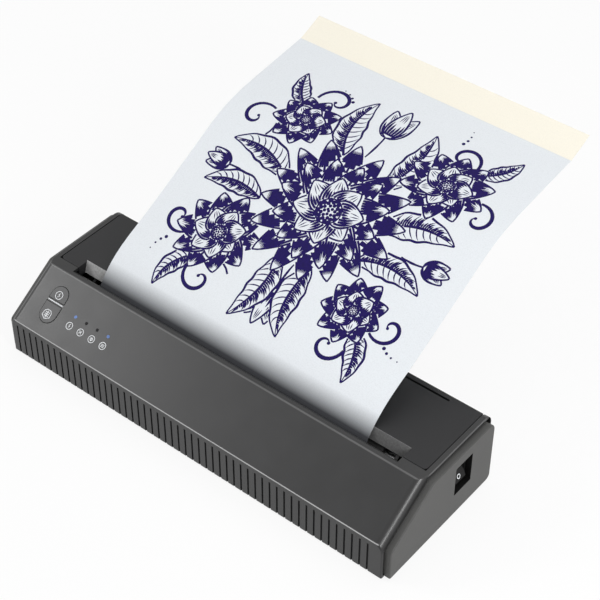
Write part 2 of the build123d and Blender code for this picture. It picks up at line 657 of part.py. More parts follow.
    # Screw bosses: the front pair grows from the slope, the rear pair from the side walls
    with BuildSketch(Plane.XY.offset(FLOOR_THICKNESS)):
        with Locations(*[p for p in CASE_SCREWS if p[1] == CASE_SCREW_FRONT_Y]):
            Circle(BOSS_RADIUS)
    extrude(amount=slope_z(CASE_SCREW_FRONT_Y - BOSS_RADIUS, SHELL_WALL / 2) - FLOOR_THICKNESS)
    with BuildSketch(Plane.XY.offset(FLOOR_THICKNESS)):
        for side in (-1, 1):
            reach = INNER_SIDE_X - CASE_SCREW_X + SEAT_GAP
            with Locations((side * CASE_SCREW_X, CASE_SCREW_REAR_Y)):
                Circle(BOSS_RADIUS)
            with Locations((side * (CASE_SCREW_X + reach / 2), CASE_SCREW_REAR_Y)):
                Rectangle(reach, 2 * BOSS_RADIUS)
    extrude(amount=REAR_BOSS_HEIGHT)
    with BuildSketch(Plane.XY.offset(FLOOR_THICKNESS)):
        with Locations(*CASE_SCREWS):
            Circle(SCREW_RADIUS)
    extrude(amount=CASE_SCREW_HOLE, mode=Mode.SUBTRACT)
    # Holes of the hinge pins, and the cut-out that the switch snaps into
    for start in (-SIDE_FACE_X, INNER_SIDE_X):
        with BuildSketch(side_plane(start)):
            with Locations((HINGE_Y, HINGE_Z)):
                Circle(HINGE_PIN_RADIUS)
        extrude(amount=SIDE_WALL, mode=Mode.SUBTRACT)
    with BuildSketch(side_plane(INNER_SIDE_X)):
        with Locations((SWITCH_Y, SWITCH_Z)):
            Rectangle(SWITCH_BODY_WIDTH + 2 * SEAT_GAP, SWITCH_BODY_HEIGHT + 2 * SEAT_GAP)
    extrude(amount=SIDE_WALL, mode=Mode.SUBTRACT)
save(top_shell.part, "top_shell")

# ---------------------------------------------------------------- bottom shell
with BuildPart() as bottom_shell:
    floor_front = INNER_FRONT_Y + SEAT_GAP
    with BuildSketch(Plane.XY):
        with Locations((0, (floor_front + REAR_Y) / 2)):
            Rectangle(2 * SIDE_FACE_X, REAR_Y - floor_front)
    extrude(amount=FLOOR_THICKNESS)
    with BuildSketch(Plane.XY):
        with Locations((0, (INNER_REAR_Y + REAR_Y) / 2)):
            Rectangle(2 * SIDE_FACE_X, SHELL_WALL)
    extrude(amount=REAR_WALL_TOP)
    # Screw holes with recesses for the heads, and the holes of the rear ports
    with BuildSketch(Plane.XY):
        with Locations(*CASE_SCREWS):
            Circle(SCREW_RADIUS + SEAT_GAP)
    extrude(amount=FLOOR_THICKNESS, mode=Mode.SUBTRACT)
    with BuildSketch(Plane.XY):
        with Locations(*CASE_SCREWS):
            Circle(SCREW_HEAD_RADIUS + SEAT_GAP)
    extrude(amount=SCREW_HEAD_HEIGHT, mode=Mode.SUBTRACT)
    with BuildSketch(Plane.XY.offset(FLOOR_THICKNESS - SCREW_BITE)):
        with Locations(*FRAME_SCREWS):
            Circle(SCREW_RADIUS)
    extrude(amount=SCREW_BITE, mode=Mode.SUBTRACT)
    with BuildSketch(Plane.XZ.offset(-REAR_Y)):
        with Locations((JACK_X, PORT_Z)):
            Circle(JACK_RADIUS + 2 * SEAT_GAP)
        with Locations((USB_X, BOARD_TOP + USB_HEIGHT / 2)):
            RectangleRounded(USB_WIDTH + 4 * SEAT_GAP, USB_HEIGHT + 4 * SEAT_GAP, USB_HEIGHT / 2)
    extrude(amount=SHELL_WALL, mode=Mode.SUBTRACT)
save(bottom_shell.part, "bottom_shell")

# Posts that guide the head springs, posts under the boards, and rails beside the battery
with BuildPart() as base_posts:
    with BuildSketch(Plane.XY.offset(FLOOR_THICKNESS)):
        with Locations(*SPRINGS):
            Circle(SPRING_POST_RADIUS)
    extrude(amount=SINK_BOTTOM + SPRING_POST_RISE - FLOOR_THICKNESS)
    with BuildSketch(Plane.XY.offset(FLOOR_THICKNESS)):
        with Locations(*BOARD_SCREWS, *PORT_POSTS):
            Circle(POST_RADIUS)
    extrude(amount=BOARD_BOTTOM - FLOOR_THICKNESS)
    with BuildSketch(Plane.XY.offset(FLOOR_THICKNESS)):
        with Locations(*BOARD_SCREWS):
            Circle(SCREW_RADIUS)
    extrude(amount=BOARD_BOTTOM - FLOOR_THICKNESS, mode=Mode.SUBTRACT)
    with BuildSketch(Plane.XY.offset(FLOOR_THICKNESS)):
        with Locations(*CELL_RAILS):
            Rectangle(2 * (CELL_LENGTH + CELL_RAIL_OVERHANG), CELL_RAIL_WIDTH)
    extrude(amount=CELL_RAIL_HEIGHT)
save(base_posts.part, "base_posts")

# ---------------------------------------------------------------- end caps
CAP_THICKNESS = CAP_FACE_X - SIDE_FACE_X
CAP_RADII = [
    CAP_FOOT_RADIUS,
    CAP_FRONT_RADIUS,
    CAP_RIDGE_RADIUS,
    CAP_REAR_TOP_RADIUS,
    CAP_REAR_BOTTOM_RADIUS,
]


def cap_outline(inset=0.0):
    """The rounded side profile of an end cap, or one that lies inset within it."""
    points = wedge_points(
        CAP_FRONT_INSET + inset,
        CAP_SLOPE_INSET + inset,
        CAP_TOP_INSET + inset,
        inset,
        CAP_REAR_Y - inset,
    )
    with BuildSketch(Plane.XY) as outline:
        with BuildLine():
            Polyline(*points, close=True)
        make_face()
        for point, radius in zip(points, CAP_RADII, strict=True):
            corner = vertices().sort_by_distance(point)[0]
            fillet(corner, max(radius - inset, CAP_INNER_RADIUS))
    return outline.sketch


with BuildPart() as left_end_cap:
    with BuildSketch(side_plane(-CAP_FACE_X)):
        add(cap_outline())
    extrude(amount=CAP_THICKNESS)
    fillet(faces().sort_by(Axis.X)[0].edges(), CAP_EDGE_RADIUS)
    with BuildSketch(side_plane(-CAP_FACE_X + CAP_WALL)):
        add(cap_outline(CAP_WALL))
    extrude(amount=CAP_THICKNESS, mode=Mode.SUBTRACT)
save(left_end_cap.part, "left_end_cap")

with BuildPart() as right_end_cap:
    with BuildSketch(side_plane(SIDE_FACE_X)):
        add(cap_outline())
    extrude(amount=CAP_THICKNESS)
    fillet(faces().sort_by(Axis.X)[-1].edges(), CAP_EDGE_RADIUS)
    with BuildSketch(side_plane(SIDE_FACE_X)):
        add(cap_outline(CAP_WALL))
        with Locations((SWITCH_Y, SWITCH_Z)):
            Rectangle(
                RECESS_WIDTH + 2 * CAP_WALL,
                RECESS_HEIGHT + 2 * CAP_WALL,
                mode=Mode.SUBTRACT,
            )
    extrude(amount=CAP_THICKNESS - CAP_WALL, mode=Mode.SUBTRACT)
    with BuildSketch(side_plane(SIDE_FACE_X)):
        with Locations((SWITCH_Y, SWITCH_Z)):
            RectangleRounded(RECESS_WIDTH, RECESS_HEIGHT, RECESS_CORNER_RADIUS)
    extrude(amount=CAP_THICKNESS, mode=Mode.SUBTRACT)
save(right_end_cap.part, "right_end_cap")

# ---------------------------------------------------------------- lid
SKIRT = SHELL_WALL
LID_MIDDLE_Y = (LID_FRONT_Y + LID_REAR_Y) / 2
LID_DEPTH = LID_REAR_Y - LID_FRONT_Y
with BuildPart() as lid:
    with BuildSketch(Plane.XY.offset(LID_SKIRT_BOTTOM)):
        with Locations((0, LID_MIDDLE_Y)):
            Rectangle(2 * LID_HALF_LENGTH, LID_DEPTH)
        fillet(vertices().group_by(Axis.Y)[0], LID_CORNER_RADIUS)
    extrude(amount=DECK_HEIGHT - LID_SKIRT_BOTTOM)
    fillet(faces().sort_by(Axis.Z)[-1].edges(), LID_EDGE_RADIUS)
    with BuildSketch(Plane.XY.offset(LID_SKIRT_BOTTOM)):
        with Locations((0, LID_MIDDLE_Y)):
            Rectangle(2 * (LID_HALF_LENGTH - SKIRT), LID_DEPTH - 2 * SKIRT)
    extrude(amount=LID_UNDERSIDE - LID_SKIRT_BOTTOM, mode=Mode.SUBTRACT)
    # Walls beside the front notch, then the notch itself
    with BuildSketch(Plane.XY.offset(LID_SKIRT_BOTTOM)):
        for side in (-1, 1):
            wall_middle_y = LID_FRONT_Y + LID_EDGE_RADIUS + NOTCH_WALL_DEPTH / 2
            with Locations((side * (NOTCH_HALF_LENGTH + SKIRT / 2), wall_middle_y)):
                Rectangle(SKIRT, NOTCH_WALL_DEPTH)
    extrude(amount=LID_UNDERSIDE - LID_SKIRT_BOTTOM)
    with BuildSketch(Plane.XY.offset(LID_SKIRT_BOTTOM - OVERCUT)):
        with Locations((0, (LID_FRONT_Y - OVERCUT + NOTCH_REAR_Y) / 2)):
            Rectangle(2 * NOTCH_HALF_LENGTH, NOTCH_REAR_Y - LID_FRONT_Y + OVERCUT)
    extrude(amount=DECK_HEIGHT - LID_SKIRT_BOTTOM + 2 * OVERCUT, mode=Mode.SUBTRACT)
    # Inlet slit for the paper
    with BuildSketch(Plane.XY.offset(LID_UNDERSIDE)):
        with Locations((0, SLIT_Y)):
            Rectangle(SLIT_LENGTH, SLIT_WIDTH)
    extrude(amount=DECK_WALL, mode=Mode.SUBTRACT)
    # Hinge knuckles
    for start in (-LID_HALF_LENGTH, LID_HALF_LENGTH - KNUCKLE_LENGTH):
        with BuildSketch(side_plane(start)):
            with Locations((HINGE_Y, HINGE_Z)):
                Circle(KNUCKLE_RADIUS)
        extrude(amount=KNUCKLE_LENGTH)
        with BuildSketch(side_plane(start)):
            with Locations((HINGE_Y, HINGE_Z)):
                Circle(HINGE_PIN_RADIUS + RUNNING_CLEARANCE)
        extrude(amount=KNUCKLE_LENGTH, mode=Mode.SUBTRACT)
save(lid.part, "lid")

with BuildPart() as hinge_pins:
    pin_inner_x = LID_HALF_LENGTH - KNUCKLE_LENGTH
    for start in (-SIDE_FACE_X, pin_inner_x):
        with BuildSketch(side_plane(start)):
            with Locations((HINGE_Y, HINGE_Z)):
                Circle(HINGE_PIN_RADIUS)
        extrude(amount=SIDE_FACE_X - pin_inner_x)
save(hinge_pins.part, "hinge_pins")

# Steep strip at the back of the paper slot, over which the sheet is torn
with BuildPart() as tear_strip:
    with BuildSketch(side_plane(-NOTCH_HALF_LENGTH)):
        with BuildLine():
            Polyline(
                (STRIP_FOOT_Y, LID_SKIRT_BOTTOM),
                (STRIP_TOP_Y, STRIP_TOP_Z),
                (NOTCH_REAR_Y, STRIP_TOP_Z),
                (NOTCH_REAR_Y, LID_UNDERSIDE),
                (NOTCH_REAR_Y + STRIP_LEDGE, LID_UNDERSIDE),
                (NOTCH_REAR_Y + STRIP_LEDGE, LID_UNDERSIDE - STRIP_LEDGE),
                (STRIP_FOOT_Y + STRIP_FOOT_THICKNESS, LID_SKIRT_BOTTOM),
                close=True,
            )
        make_face()
    extrude(amount=2 * NOTCH_HALF_LENGTH)
save(tear_strip.part, "tear_strip")

# ---------------------------------------------------------------- platen and its frame
with BuildPart() as platen_frame:
    web_front_y = NOTCH_REAR_Y + WEB_FRONT_GAP
    web_rear_y = web_front_y + WEB_DEPTH
    with BuildSketch(Plane.XY.offset(LID_UNDERSIDE - WEB_THICKNESS)):
        with Locations((0, (web_front_y + web_rear_y) / 2)):
            Rectangle(2 * (EAR_X + EAR_THICKNESS), web_rear_y - web_front_y)
    extrude(amount=WEB_THICKNESS)
    for start in (-EAR_X - EAR_THICKNESS, EAR_X):
        with BuildSketch(side_plane(start)):
            with Locations((PLATEN_Y, PLATEN_Z)):
                Circle(EAR_RADIUS)
            with BuildLine():
                Polyline(
                    (PLATEN_Y - EAR_FRONT_HALF_WIDTH, PLATEN_Z),
                    (PLATEN_Y - EAR_FRONT_HALF_WIDTH, LID_SKIRT_BOTTOM - EAR_SHOULDER_DROP),
                    (web_front_y, LID_SKIRT_BOTTOM),
                    (web_front_y, LID_UNDERSIDE),
                    (web_rear_y, LID_UNDERSIDE),
                    (PLATEN_Y + EAR_RADIUS, PLATEN_Z),
                    close=True,
                )
            make_face()
            with Locations((PLATEN_Y, PLATEN_Z)):
                Circle(BUSHING_RADIUS, mode=Mode.SUBTRACT)
        extrude(amount=EAR_THICKNESS)
save(platen_frame.part, "platen_frame")

BUSHING_INNER_X = EAR_X - BUSHING_PROUD
BUSHING_OUTER_X = FRAME_X + FRAME_THICKNESS + BUSHING_PROUD
with BuildPart() as platen_bushings:
    for start in (-BUSHING_OUTER_X, BUSHING_INNER_X):
        with BuildSketch(side_plane(start)):
            with Locations((PLATEN_Y, PLATEN_Z)):
                Circle(BUSHING_RADIUS)
                Circle(SHAFT_RADIUS + RUNNING_CLEARANCE, mode=Mode.SUBTRACT)
        extrude(amount=BUSHING_OUTER_X - BUSHING_INNER_X)
save(platen_bushings.part, "platen_bushings")

with BuildPart() as platen_shaft:
    with BuildSketch(side_plane(-BUSHING_OUTER_X)):
        with Locations((PLATEN_Y, PLATEN_Z)):
            Circle(SHAFT_RADIUS)
    extrude(amount=BUSHING_OUTER_X + GEAR_PLANE_X + GEAR_WIDTH)
    chamfer(faces().sort_by(Axis.X)[0].edges(), SHAFT_CHAMFER)
save(platen_shaft.part, "platen_shaft")

with BuildPart() as platen_rubber:
    with BuildSketch(side_plane(-PLATEN_LENGTH / 2)):
        with Locations((PLATEN_Y, PLATEN_Z)):
            Circle(PLATEN_RADIUS)
            Circle(SHAFT_RADIUS, mode=Mode.SUBTRACT)
    extrude(amount=PLATEN_LENGTH)
save(platen_rubber.part, "platen_rubber")

# ---------------------------------------------------------------- gear train
PRESSURE = radians(PRESSURE_ANGLE)
TRAIN_START_X = FRAME_X + FRAME_THICKNESS + SEAT_GAP
TRAIN_END_X = LARGE_GEAR_X + LARGE_GEAR_WIDTH
BORE_LENGTH = TRAIN_END_X - TRAIN_START_X + OVERCUT


def involute(angle):
    return tan(angle) - angle


def gear_points(teeth, phase):
    """Corners of a spur gear with a tooth centred at the phase, in degrees."""
    pitch_radius = GEAR_MODULE * teeth / 2
    base_radius = pitch_radius * cos(PRESSURE)
    root_radius = pitch_radius - DEDENDUM * GEAR_MODULE
    tip_radius = pitch_radius + ADDENDUM * GEAR_MODULE
    half_tooth = pi / (2 * teeth) - BACKLASH / (2 * pitch_radius)
    start_radius = max(base_radius, root_radius)
    flank = []
    for i in range(FLANK_STEPS + 1):
        radius = start_radius + (tip_radius - start_radius) * i / FLANK_STEPS
        rolled = acos(min(1.0, base_radius / radius))
        half = half_tooth + involute(PRESSURE) - involute(rolled)
        flank.append((radius, half))
    if root_radius < base_radius - 0.01:
        flank.insert(0, (root_radius, flank[0][1]))
    points = []
    for tooth in range(teeth):
        centre = radians(phase) + 2 * pi * tooth / teeth
        for radius, half in flank:
            points.append((radius * cos(centre - half), radius * sin(centre - half)))
        for radius, half in reversed(flank):
            points.append((radius * cos(centre + half), radius * sin(centre + half)))
    return points


def mesh_phase(teeth_a, phase_a, teeth_b, direction):
    """Phase of gear b, which lies from gear a in the direction, so that their teeth mesh."""
    pitch_a = 360 / teeth_a
    lead = (phase_a - direction) % pitch_a
    return direction + 180 - lead * teeth_a / teeth_b + 180 / teeth_b


def centre_distance(teeth_a, teeth_b):
    return GEAR_MODULE * (teeth_a + teeth_b) / 2


# The idler lies opposite to the way that the platen lifts off when the lid opens
lift_radius = sqrt((HINGE_Y - PLATEN_Y) ** 2 + (HINGE_Z - PLATEN_Z) ** 2)
TO_IDLER = degrees(acos((HINGE_Z - PLATEN_Z) / lift_radius))
IDLER_DISTANCE = centre_distance(PLATEN_TEETH, IDLER_TEETH)
IDLER_AXIS = (
    PLATEN_Y + IDLER_DISTANCE * cos(radians(TO_IDLER)),
    PLATEN_Z - IDLER_DISTANCE * sin(radians(TO_IDLER)),
)
COMPOUND_DISTANCE = centre_distance(IDLER_TEETH, COMPOUND_SMALL_TEETH)
COMPOUND_DROP = IDLER_AXIS[1] - COMPOUND_AXIS_Z
COMPOUND_AXIS = (IDLER_AXIS[0] - sqrt(COMPOUND_DISTANCE**2 - COMPOUND_DROP**2), COMPOUND_AXIS_Z)
PINION_DISTANCE = centre_distance(COMPOUND_LARGE_TEETH, PINION_TEETH)
PINION_RISE = PINION_AXIS_Z - COMPOUND_AXIS_Z
PINION_AXIS = (COMPOUND_AXIS[0] - sqrt(PINION_DISTANCE**2 - PINION_RISE**2), PINION_AXIS_Z)


def direction_to(start, end):
    """Direction from one axis to another, in degrees from +Y towards +Z."""
    reach = sqrt((end[0] - start[0]) ** 2 + (end[1] - start[1]) ** 2)
    angle = degrees(acos((end[0] - start[0]) / reach))
    return angle if end[1] >= start[1] else -angle


platen_phase = direction_to(PLATEN_AXIS, IDLER_AXIS)
idler_phase = mesh_phase(PLATEN_TEETH, platen_phase, IDLER_TEETH, platen_phase)
small_phase = mesh_phase(
    IDLER_TEETH,
    idler_phase,
    COMPOUND_SMALL_TEETH,
    direction_to(IDLER_AXIS, COMPOUND_AXIS),
)
large_phase = 0.0
pinion_phase = mesh_phase(
    COMPOUND_LARGE_TEETH,
    large_phase,
    PINION_TEETH,
    direction_to(COMPOUND_AXIS, PINION_AXIS),
)


def add_gear(axis, teeth, phase, start_x, width):
    """Adds one spur gear to the part that is being built."""
    points = [(axis[0] + y, axis[1] + z) for y, z in gear_points(teeth, phase)]
    with BuildSketch(side_plane(start_x)) as blank:
        with BuildLine():
            Polyline(*points, close=True)
        make_face()
    extrude(blank.sketch, amount=width)


def add_disc(axis, radius, start_x, width, mode=Mode.ADD):
    """Adds or cuts one round disc, hub or bore along X."""
    with BuildSketch(side_plane(start_x)) as disc:
        with Locations(axis):
            Circle(radius)
    extrude(disc.sketch, amount=width, mode=mode)


with BuildPart() as platen_gear:
    add_gear(PLATEN_AXIS, PLATEN_TEETH, platen_phase, GEAR_PLANE_X, GEAR_WIDTH)
    add_disc(PLATEN_AXIS, SHAFT_RADIUS, GEAR_PLANE_X, GEAR_WIDTH, Mode.SUBTRACT)
save(platen_gear.part, "platen_gear")

with BuildPart() as idler_gear:
    add_gear(IDLER_AXIS, IDLER_TEETH, idler_phase, GEAR_PLANE_X, GEAR_WIDTH)
    add_disc(IDLER_AXIS, GEAR_HUB_RADIUS, TRAIN_START_X, GEAR_PLANE_X - TRAIN_START_X)
    bore_radius = AXLE_RADIUS + RUNNING_CLEARANCE
    add_disc(IDLER_AXIS, bore_radius, TRAIN_START_X, BORE_LENGTH, Mode.SUBTRACT)
save(idler_gear.part, "idler_gear")

with BuildPart() as compound_gear:
    add_gear(COMPOUND_AXIS, COMPOUND_SMALL_TEETH, small_phase, GEAR_PLANE_X, GEAR_WIDTH)
    hub_end = GEAR_PLANE_X + GEAR_WIDTH
    add_disc(COMPOUND_AXIS, GEAR_HUB_RADIUS, hub_end, LARGE_GEAR_X - hub_end)
    add_gear(COMPOUND_AXIS, COMPOUND_LARGE_TEETH, large_phase, LARGE_GEAR_X, LARGE_GEAR_WIDTH)
    add_disc(COMPOUND_AXIS, GEAR_HUB_RADIUS, TRAIN_START_X, GEAR_PLANE_X - TRAIN_START_X)
    add_disc(COMPOUND_AXIS, bore_radius, TRAIN_START_X, BORE_LENGTH, Mode.SUBTRACT)
save(compound_gear.part, "compound_gear")

with BuildPart() as gear_axles:
    idler_end = GEAR_PLANE_X + GEAR_WIDTH + SEAT_GAP
    compound_end = TRAIN_END_X + SEAT_GAP
    for axis, end in ((IDLER_AXIS, idler_end), (COMPOUND_AXIS, compound_end)):
        add_disc(axis, AXLE_RADIUS, FRAME_X, end - FRAME_X + RETAINER_WIDTH)
        add_disc(axis, AXLE_RADIUS + RETAINER_STEP, end, RETAINER_WIDTH)
save(gear_axles.part, "gear_axles")

# ---------------------------------------------------------------- stepper motor
MOTOR_START_X = FRAME_X - MOTOR_LENGTH
MOTOR_SHAFT_END_X = TRAIN_END_X + MOTOR_SHAFT_PROUD
MOTOR_SHAFT_START_X = FRAME_X - MOTOR_SHAFT_DEPTH
with BuildPart() as stepper_motor:
    add_disc(PINION_AXIS, MOTOR_RADIUS, MOTOR_START_X, MOTOR_LENGTH)
    fillet(faces().sort_by(Axis.X)[0].edges(), MOTOR_EDGE_RADIUS)
    add_disc(PINION_AXIS, MOTOR_BOSS_RADIUS, FRAME_X, FRAME_THICKNESS)
    motor_bore_radius = MOTOR_SHAFT_RADIUS + RUNNING_CLEARANCE
    motor_bore_length = MOTOR_BORE_DEPTH + FRAME_THICKNESS + OVERCUT
    motor_bore_start = FRAME_X - MOTOR_BORE_DEPTH
    add_disc(PINION_AXIS, motor_bore_radius, motor_bore_start, motor_bore_length, Mode.SUBTRACT)
save(stepper_motor.part, "stepper_motor")

with BuildPart() as motor_shaft:
    motor_shaft_length = MOTOR_SHAFT_END_X - MOTOR_SHAFT_START_X
    add_disc(PINION_AXIS, MOTOR_SHAFT_RADIUS, MOTOR_SHAFT_START_X, motor_shaft_length)
save(motor_shaft.part, "motor_shaft")

with BuildPart() as motor_pinion:
    add_gear(PINION_AXIS, PINION_TEETH, pinion_phase, LARGE_GEAR_X, LARGE_GEAR_WIDTH)
    add_disc(PINION_AXIS, PINION_HUB_RADIUS, TRAIN_START_X, LARGE_GEAR_X - TRAIN_START_X)
    add_disc(PINION_AXIS, MOTOR_SHAFT_RADIUS, TRAIN_START_X, BORE_LENGTH, Mode.SUBTRACT)
save(motor_pinion.part, "motor_pinion")

# ---------------------------------------------------------------- side frames
def frame_outline(with_drive):
    """Side frame: a plate with a notch that takes the platen bushing from above."""
    front_y = PINION_AXIS[0] - FRAME_BEFORE_PINION if with_drive else SINK_FRONT_Y - FRAME_BEFORE_SINK
    front_top = FRAME_DRIVE_TOP if with_drive else PLATEN_Z + FRAME_FRONT_RISE
    shoulder_z = PLATEN_Z + FRAME_SHOULDER_RISE
    rear_top = PLATEN_Z + FRAME_REAR_RISE
    notch_left = PLATEN_Y - FRAME_NOTCH_RADIUS
    notch_right = PLATEN_Y + FRAME_NOTCH_RADIUS
    with BuildSketch(Plane.XY) as outline:
        with BuildLine():
            Polyline(
                (front_y, FLOOR_THICKNESS),
                (front_y, front_top),
                (PLATEN_Y - FRAME_SHOULDER_FRONT, shoulder_z),
                (PLATEN_Y - FRAME_SHOULDER_REAR, shoulder_z),
                (notch_left, PLATEN_Z),
                (notch_right, PLATEN_Z),
                (notch_right, rear_top),
                (FRAME_REAR_Y - FRAME_REAR_CORNER, rear_top),
                (FRAME_REAR_Y, rear_top - FRAME_CORNER_DROP),
                (FRAME_REAR_Y, FLOOR_THICKNESS),
                close=True,
            )
        make_face()
        with Locations((PLATEN_Y, PLATEN_Z)):
            Circle(FRAME_NOTCH_RADIUS, mode=Mode.SUBTRACT)
        if with_drive:
            with Locations(PINION_AXIS):
                Circle(MOTOR_BOSS_RADIUS, mode=Mode.SUBTRACT)
            with Locations(IDLER_AXIS, COMPOUND_AXIS):
                Circle(AXLE_RADIUS, mode=Mode.SUBTRACT)
    return outline.sketch


def add_frame(side, with_drive):
    """One side frame with its floor flange and the two tabs that stop the print head."""
    start = FRAME_X if side > 0 else -FRAME_X - FRAME_THICKNESS
    with BuildSketch(side_plane(start)) as plate:
        add(frame_outline(with_drive))
    extrude(plate.sketch, amount=FRAME_THICKNESS)
    flange_middle = side * (FRAME_X - FLANGE_DEPTH / 2)
    flange_front = SINK_FRONT_Y + FLANGE_BEHIND_SINK_FRONT
    with BuildSketch(Plane.XY.offset(FLOOR_THICKNESS)) as flange:
        with Locations((flange_middle, (flange_front + FRAME_REAR_Y) / 2)):
            Rectangle(FLANGE_DEPTH, FRAME_REAR_Y - flange_front)
    extrude(flange.sketch, amount=FRAME_THICKNESS)
    with BuildSketch(Plane.XY) as holes:
        with Locations(*[p for p in FRAME_SCREWS if p[0] * side > 0]):
            Circle(SCREW_RADIUS + SEAT_GAP)
    extrude(holes.sketch, amount=3 * FLOOR_THICKNESS, mode=Mode.SUBTRACT)
    with BuildSketch(Plane.XY.offset(HEAD_PLATE_BOTTOM + SEAT_GAP)) as tabs:
        for y in (SINK_FRONT_Y + TAB_INSET, SINK_REAR_Y - TAB_INSET):
            with Locations((side * (FRAME_X - TAB_LENGTH / 2), y)):
                Rectangle(TAB_LENGTH, TAB_WIDTH)
    extrude(tabs.sketch, amount=FRAME_THICKNESS)


with BuildPart() as left_side_frame:
    add_frame(-1, False)
save(left_side_frame.part, "left_side_frame")

with BuildPart() as right_side_frame:
    add_frame(1, True)
save(right_side_frame.part, "right_side_frame")

# ---------------------------------------------------------------- print head
with BuildPart() as heat_sink:
    with BuildSketch(side_plane(-SINK_LENGTH / 2)):
        with Locations((SINK_MIDDLE_Y, (SINK_BOTTOM + HEAD_PLATE_BOTTOM) / 2)):
            Rectangle(SINK_REAR_Y - SINK_FRONT_Y, SINK_THICKNESS)
    extrude(amount=SINK_LENGTH)
    with BuildSketch(Plane.XY.offset(SINK_BOTTOM)):
        with Locations(*SPRINGS):
            Circle(SPRING_POST_RADIUS + 2 * SEAT_GAP)
    extrude(amount=SPRING_SOCKET_DEPTH, mode=Mode.SUBTRACT)
save(heat_sink.part, "heat_sink")

with BuildPart() as thermal_head:
    with BuildSketch(side_plane(-HEAD_LENGTH / 2)):
        with Locations((PLATEN_Y + HEAD_PLATE_OFFSET, (HEAD_PLATE_BOTTOM + HEAD_PLATE_TOP) / 2)):
            Rectangle(HEAD_PLATE_DEPTH, HEAD_PLATE_THICKNESS)
        with Locations((PLATEN_Y, PLATEN_Z - PLATEN_RADIUS - NIP_GAP - BEAD_RADIUS)):
            Circle(BEAD_RADIUS)
    extrude(amount=HEAD_LENGTH)
save(thermal_head.part, "thermal_head")

with BuildPart() as head_springs:
    spring_length = SINK_BOTTOM - FLOOR_THICKNESS - 2 * SPRING_WIRE_RADIUS
    coil_radius = SPRING_POST_RADIUS + SPRING_WIRE_RADIUS + SPRING_CLEARANCE
    for spring_x, spring_y in SPRINGS:
        with BuildLine() as coil:
            Helix(
                spring_length / SPRING_TURNS,
                spring_length,
                coil_radius,
                center=(spring_x, spring_y, FLOOR_THICKNESS + SPRING_WIRE_RADIUS),
            )
        with BuildSketch(Plane(coil.line @ 0, z_dir=coil.line % 0)):
            Circle(SPRING_WIRE_RADIUS)
        sweep(path=coil.line)
save(head_springs.part, "head_springs")

# ---------------------------------------------------------------- paper guides
with BuildPart() as paper_guide:
    with BuildSketch(side_plane(-FRAME_X + SEAT_GAP)):
        with BuildLine():
            Polyline(
                (GUIDE_FRONT_Y, GUIDE_FRONT_Z),
                (GUIDE_REAR_Y - GUIDE_LIP_LENGTH, GUIDE_BEND_Z),
                (GUIDE_REAR_Y, GUIDE_LIP_Z),
                (GUIDE_REAR_Y, GUIDE_LIP_Z - GUIDE_THICKNESS),
                (GUIDE_REAR_Y - GUIDE_LIP_LENGTH + GUIDE_EDGE_STEP, GUIDE_BEND_Z - GUIDE_THICKNESS),
                (GUIDE_FRONT_Y + GUIDE_EDGE_STEP, GUIDE_FRONT_Z - GUIDE_THICKNESS),
                close=True,
            )
        make_face()
    extrude(amount=2 * (FRAME_X - SEAT_GAP))
save(paper_guide.part, "paper_guide")

with BuildPart() as exit_guide:
    with BuildSketch(side_plane(-EXIT_GUIDE_HALF_LENGTH)):
        with BuildLine():
            Polyline(
                (EXIT_GUIDE_Y - EXIT_GUIDE_THICKNESS, DECK_UNDERSIDE),
                (EXIT_GUIDE_Y, DECK_UNDERSIDE),
                (EXIT_GUIDE_Y, EXIT_GUIDE_BEND_Z),
                (EXIT_GUIDE_Y + EXIT_GUIDE_KICK, EXIT_GUIDE_BOTTOM),
                (EXIT_GUIDE_Y + EXIT_GUIDE_KICK - EXIT_GUIDE_THICKNESS, EXIT_GUIDE_BOTTOM),
                (EXIT_GUIDE_Y - EXIT_GUIDE_THICKNESS, EXIT_GUIDE_BEND_Z),
                close=True,
            )
        make_face()
    extrude(amount=2 * EXIT_GUIDE_HALF_LENGTH)
save(exit_guide.part, "exit_guide")

with BuildPart() as paper_sensor:
    with BuildSketch(Plane.XY.offset(FLOOR_THICKNESS)):
        with Locations((SENSOR_X, SENSOR_Y)):
            Rectangle(SENSOR_LENGTH, SENSOR_WIDTH)
    extrude(amount=GUIDE_FRONT_Z - SENSOR_BELOW_GUIDE - FLOOR_THICKNESS)
save(paper_sensor.part, "paper_sensor")

# ---------------------------------------------------------------- electronics
with BuildPart() as main_board:
    with BuildSketch(Plane.XY.offset(BOARD_BOTTOM)):
        with Locations((0, MAIN_BOARD_Y)):
            Rectangle(MAIN_BOARD_LENGTH, MAIN_BOARD_REAR_Y - MAIN_BOARD_FRONT_Y)
        with Locations(*BOARD_SCREWS):
            Circle(SCREW_RADIUS + SEAT_GAP, mode=Mode.SUBTRACT)
    extrude(amount=BOARD_THICKNESS)
save(main_board.part, "main_board")


def on_main_board(places):
    """Places on the main board, given from its middle."""
    return [(x, MAIN_BOARD_Y + y) for x, y in places]


with BuildPart() as main_board_parts:
    with BuildSketch(Plane.XY.offset(BOARD_TOP)):
        with Locations(*on_main_board([CHIP_PLACE])):
            Rectangle(CHIP_SIZE, CHIP_SIZE)
        with Locations(*on_main_board([DRIVER_PLACE])):
            Rectangle(DRIVER_LENGTH, DRIVER_WIDTH)
    extrude(amount=CHIP_HEIGHT)
    with BuildSketch(Plane.XY.offset(BOARD_TOP)):
        with Locations(*on_main_board(SOCKET_PLACES)):
            Rectangle(SOCKET_LENGTH, SOCKET_WIDTH)
    extrude(amount=SOCKET_HEIGHT)
    with BuildSketch(Plane.XY.offset(BOARD_TOP)):
        with Locations(*on_main_board(CAPACITOR_PLACES)):
            Circle(CAPACITOR_RADIUS)
    extrude(amount=CAPACITOR_HEIGHT)
save(main_board_parts.part, "main_board_parts")

